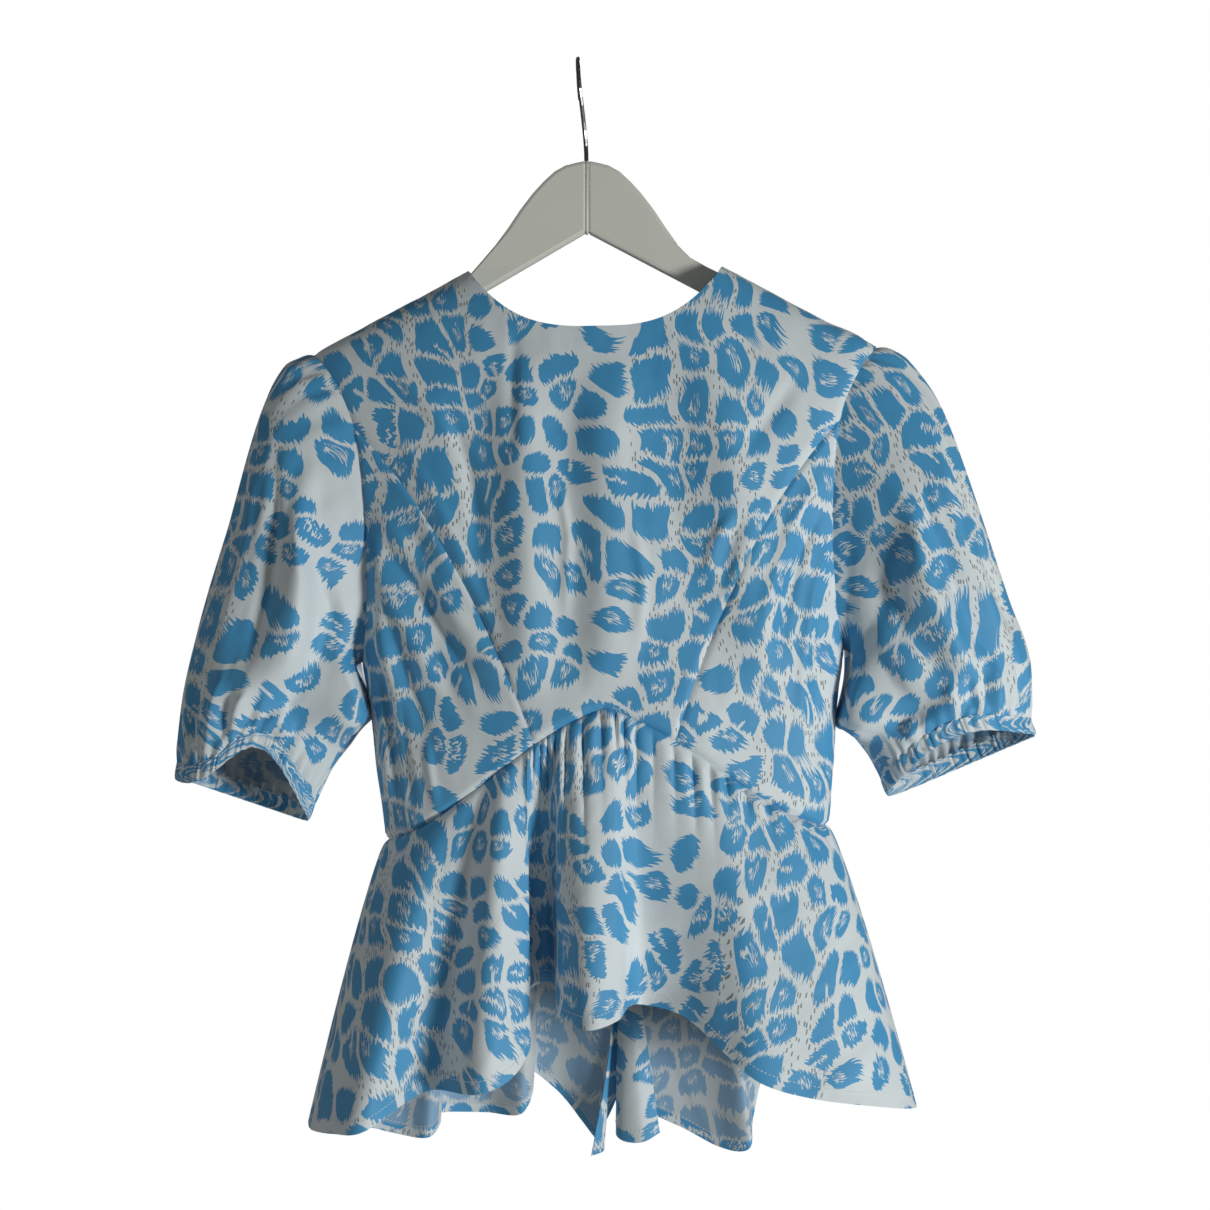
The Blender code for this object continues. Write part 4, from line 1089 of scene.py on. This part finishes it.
def sleeve_surface(side, turn, along, folds):
    """Points of a sleeve and the way outward. turn is in radians from its top over the front."""
    rings, lift = (SLEEVE_LEFT, LIFT_LEFT) if side < 0 else (SLEEVE_RIGHT, LIFT_RIGHT)
    keys = [row[0] for row in rings]
    turn, along = np.broadcast_arrays(turn, along)
    degrees = np.degrees(turn) % 360

    def ring_point(at):
        found = np.moveaxis(table([row[1:] for row in rings], keys, at), -1, 0)
        outer_x, outer_z, inner_x, inner_z, depth, raised, drop = found
        outer = np.stack([outer_x, 0 * outer_x, outer_z], -1)
        inner = np.stack([inner_x, 0 * outer_x, inner_z], -1)
        centre = (outer + inner) / 2
        found = centre + (outer - inner) / 2 * np.cos(turn)[..., None]
        found[..., 1] -= depth * np.sin(turn)
        found[..., 2] += raised * np.exp(-(((degrees - lift[0]) / lift[1]) ** 2))
        found[..., 2] += drop * np.minimum(np.sin(turn), 0)
        return found, centre

    found, centre = ring_point(along)
    loop_across, loop_z = armhole_line((1 - np.cos(turn)) / 2)
    loop = body_point(side * loop_across, loop_z, np.sin(turn) >= 0)
    first, _ = ring_point(0 * along)
    found = found + (loop - first) * (1 - step(along / HEAD_FADE))[..., None]
    outward = found - centre
    outward /= np.linalg.norm(outward, axis=-1, keepdims=True)
    for angle, rise, half_angle, start, end in folds:
        length = step((along - start) / 0.2) * step((end - along) / 0.15)
        away = (degrees - angle) / half_angle
        found = found + outward * (rise * length * np.exp(-away * away))[..., None]
    return found, outward, degrees


def ring_noise(wave, across, down, number):
    """Noise that meets itself round a sleeve."""
    whole = 2 * math.pi
    first = noise(wave * across, down, number)
    again = noise((wave - whole) * across, down, number)
    return first * (1 - wave / whole) + again * wave / whole


def sleeve_uv(points, degrees, side, shift):
    """The print runs straight down the sleeve, and round it from its outer edge."""
    outer, inner = points[:, points.shape[1] // 2], points[:, 0]
    up = (outer[-1] - outer[0]) / np.linalg.norm(outer[-1] - outer[0])
    beside = np.array([up[2], 0, -up[0]]) * side
    level, reach = points @ up, points @ beside
    widest = np.interp(level, outer @ up, outer @ beside)
    least = np.interp(level, inner @ up, inner @ beside)
    half = np.maximum((widest - least) / 2, 30)
    angles = np.linspace(0, math.pi, 200)
    arc = np.sqrt(np.sin(angles) ** 2 + (SLEEVE_FLATNESS * np.cos(angles)) ** 2)
    arc = np.concatenate([[0], np.cumsum((arc[1:] + arc[:-1]) / 2 * np.diff(angles))])
    run = half * np.interp((widest - reach) / half, 1 - np.cos(angles), arc)
    return np.stack([run * np.where(degrees <= 180, -side, side) + shift[0], level + shift[1]], -1)


def sleeve(name, side, shift, seed):
    columns = 280
    wave = np.linspace(0, 2 * math.pi, columns)[None, :]
    turn = math.pi - side * wave
    along = spaced(1.0, 60, 0.86, 30, 0.16, 40, 0.0)[:, None]
    folds = SLEEVE_FOLDS_LEFT if side < 0 else SLEEVE_FOLDS_RIGHT
    points, outward, degrees = sleeve_surface(side, turn, along, folds)

    def uneven(across, down, number):
        return ring_noise(wave, across, along * down, seed + number)

    head = 24 * wave + 2.5 * uneven(3, 0, 0)
    cuff = 34 * wave + 3.0 * uneven(4, 0, 1)
    head_reach = 0.055 * (1 + 0.6 * uneven(5, 0, 2))
    cuff_reach = 0.075 * (1 + 0.7 * uneven(6, 0, 3))
    crown = np.maximum(np.cos(turn), 0) ** 1.2
    rise = 1.9 * np.cos(head) * along / head_reach * np.exp(1 - along / head_reach) * crown
    gathered = np.exp(-(1 - along) / cuff_reach) * (1 + 0.4 * uneven(5, 0, 4))
    rise = rise + 1.7 * np.cos(cuff) * gathered
    for number, (height, across, down) in enumerate(SLEEVE_SMALL_FOLDS, 5):
        rise = rise + height * uneven(across, down, number) * np.sin(math.pi * along)
    # The seams at both its ends
    rise = rise - 1.0 * np.exp(-along / 0.008) - 0.7 * np.exp(-(1 - along) / 0.006)
    marks = SLEEVE_CREASES_LEFT if side < 0 else SLEEVE_CREASES_RIGHT
    rise = rise + creases(marks, degrees, along * ALONG_SLEEVE)
    points = points + outward * rise[..., None]
    points[..., 0] -= side * 2.0 * np.exp(-along / 0.006)
    face = normals(points, True)
    made = shell(name, points, sleeve_uv(points, degrees, side, shift), face, CLOTH_FINISHES)
    declare(made, points, SLEEVE_FULLNESS)
    stitches(name + "_stitches", [line_at(points, face, SLEEVE_STITCH)])


def casing(name, side, shift, seed):
    """The elastic casing below a sleeve."""
    along = np.linspace(CASING_BOTTOM, CASING_TOP, 16)[:, None]
    wave = np.linspace(0, 2 * math.pi, 420)[None, :]
    points, outward, _ = sleeve_surface(side, math.pi - side * wave, along, [])
    share = (CASING_BOTTOM - along) / CASING_HEIGHT
    swell = np.maximum(np.sin(math.pi * share), 0)
    pleat = CASING_PLEATS * wave + 5 * ring_noise(wave, 9, 0 * wave, seed + 8)
    rise = CASING_PLEAT * np.cos(pleat) * (0.7 + 0.5 * ring_noise(wave, 14, 0 * wave, seed + 9))
    rise = rise * (0.6 + 0.4 * swell) + 0.6 * swell**0.5
    points = points + outward * rise[..., None]
    uv = [lengths(points, 1) * CASING_SQUEEZE + shift[0], lengths(points, 0) + shift[1] - 11]
    face = normals(points, True)
    made = shell(name, points, np.stack(uv, -1), face, [RIGHT_SIDE] * 2, wall=CASING_WALL)
    declare(made, points, GATHERED_FULLNESS)


front_centre()
front_sides()
backs()
peplum("Peplum_front", PEPLUM_FRONT, True, 420, 92, 36, (60, 500), 100)
peplum("Peplum_back_left", PEPLUM_BACK_LEFT, False, 200, 84, 18, (-400, 620), 200, BACK_EDGE_BOW, 11.5)
peplum("Peplum_back_right", PEPLUM_BACK_RIGHT, False, 200, 84, 18, (420, 640), 300)
for place, side, shift, seed in (("left", -1, (-700, 40), 400), ("right", 1, (700, 80), 500)):
    sleeve("Sleeve_" + place, side, shift, seed)
    casing("Casing_" + place, side, shift, seed)

# The hanger, the hook and the buttons keep their CAD shapes
for number in range(1, 6):
    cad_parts[f"button_{number}"].material_slots[0].material = BUTTON
for node in ("hanger_left", "hanger_right"):
    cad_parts[node].material_slots[0].material = WOOD
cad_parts["hook"].material_slots[0].material = CHROME


def hanger_joint():
    """The glued joint between the arms: a thin strip that fills their bevels."""
    middle = (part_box("hanger_left")[1][0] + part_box("hanger_right")[0][0]) / 2
    near = []
    for node in ("hanger_left", "hanger_right"):
        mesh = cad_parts[node].data
        found = np.empty(len(mesh.vertices) * 3)
        mesh.vertices.foreach_get("co", found)
        near.append(found.reshape(-1, 3))
    near = np.concatenate(near)
    near = near[np.abs(near[:, 0] - middle) < JOINT_SEARCH] / MM
    (_, front, low), (_, back, high) = near.min(0), near.max(0)
    edge = JOINT_EDGE
    outline = np.array([
        (front + edge, low), (front, low + edge), (front, high - edge), (front + edge, high),
        (back - edge, high), (back, high - edge), (back, low + edge), (back - edge, low),
    ])
    inward = np.sign(outline.mean(0) - outline)
    # Across the joint, with how deep each ring of its outline is sunk
    rings = [(-JOINT_WIDTH, 0.25), (-JOINT_WIDTH / 2, 0.06), (JOINT_WIDTH / 2, 0.06), (JOINT_WIDTH, 0.25)]
    verts = [(middle / MM + place, y, z) for place, sunk in rings for y, z in outline + inward * sunk]
    index = np.arange(len(verts)).reshape(len(rings), len(outline))
    ahead = np.roll(index, -1, axis=1)
    faces = np.stack([index[:-1], index[1:], ahead[1:], ahead[:-1]], -1).reshape(-1, 4)
    caps = [index[0, [0, 1, 2, 3]], index[0, [0, 3, 4, 7]], index[0, [4, 5, 6, 7]]]
    caps += [index[-1, [3, 2, 1, 0]], index[-1, [7, 4, 3, 0]], index[-1, [7, 6, 5, 4]]]
    faces = np.concatenate([faces, caps])
    made = quad_mesh("Hanger_joint", np.array(verts), faces, np.zeros(len(faces)), [WOOD])
    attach(made, "root")


hanger_joint()


# The studio


def studio():
    # A floor that glows, a painted light: dimmer at its middle and white towards its rim. It gives the part
    # no light
    bm = bmesh.new()
    bmesh.ops.create_circle(bm, cap_ends=True, segments=128, radius=FLOOR_RADIUS)
    mesh = bpy.data.meshes.new("Floor")
    bm.to_mesh(mesh)
    bm.free()
    floor = placed("Floor", mesh)
    floor.location = (0, 0, FLOOR_LEVEL)
    floor.visible_diffuse = False
    made, tree, shader = surface("Floor glow", 0.9)
    shader.inputs["Base Color"].default_value = (0.8, 0.8, 0.8, 1)
    shader.inputs["Emission Color"].default_value = (1, 1, 1, 1)
    gradient = tree.nodes.new("ShaderNodeTexGradient")
    gradient.gradient_type = "SPHERICAL"
    tree.links.new(tree.nodes.new("ShaderNodeTexCoord").outputs["Object"], gradient.inputs["Vector"])
    inner = Field(tree, gradient.outputs["Fac"])
    # Painted light: the floor's glow runs from 0.6 at its middle up to 1.0 at its rim
    tree.links.new(inner.mix(1.0, 0.6).socket, shader.inputs["Emission Strength"])
    mesh.materials.append(made)

    # A white ground behind the part, with little light of its own
    world = bpy.data.worlds.new("Studio")
    world.use_nodes = True
    tree = world.node_tree
    tree.nodes["Background"].inputs[0].default_value = (1, 1, 1, 1)
    seen = Field(tree, tree.nodes.new("ShaderNodeLightPath").outputs["Is Camera Ray"])
    tree.links.new(seen.mix(SKY_FILL, 1.0).socket, tree.nodes["Background"].inputs[1])
    bpy.context.scene.world = world

    for name, place, size, power in LAMPS:
        light = bpy.data.lights.new(name, "AREA")
        light.shape = "DISK"
        light.size = size
        light.energy = power
        lamp = placed(name, light)
        lamp.location = place
        away = Vector(MIDDLE_OF_VIEW) - Vector(place)
        lamp.rotation_euler = away.to_track_quat("-Z", "Y").to_euler()

    data = bpy.data.cameras.new("Camera")
    data.lens = LENS
    data.sensor_width = SENSOR
    camera = placed("Camera", data)
    camera.location = CAMERA_PLACE
    camera.rotation_euler = (math.radians(90), 0, 0)
    bpy.context.scene.camera = camera
    bpy.context.scene.view_settings.view_transform = "Standard"


studio()
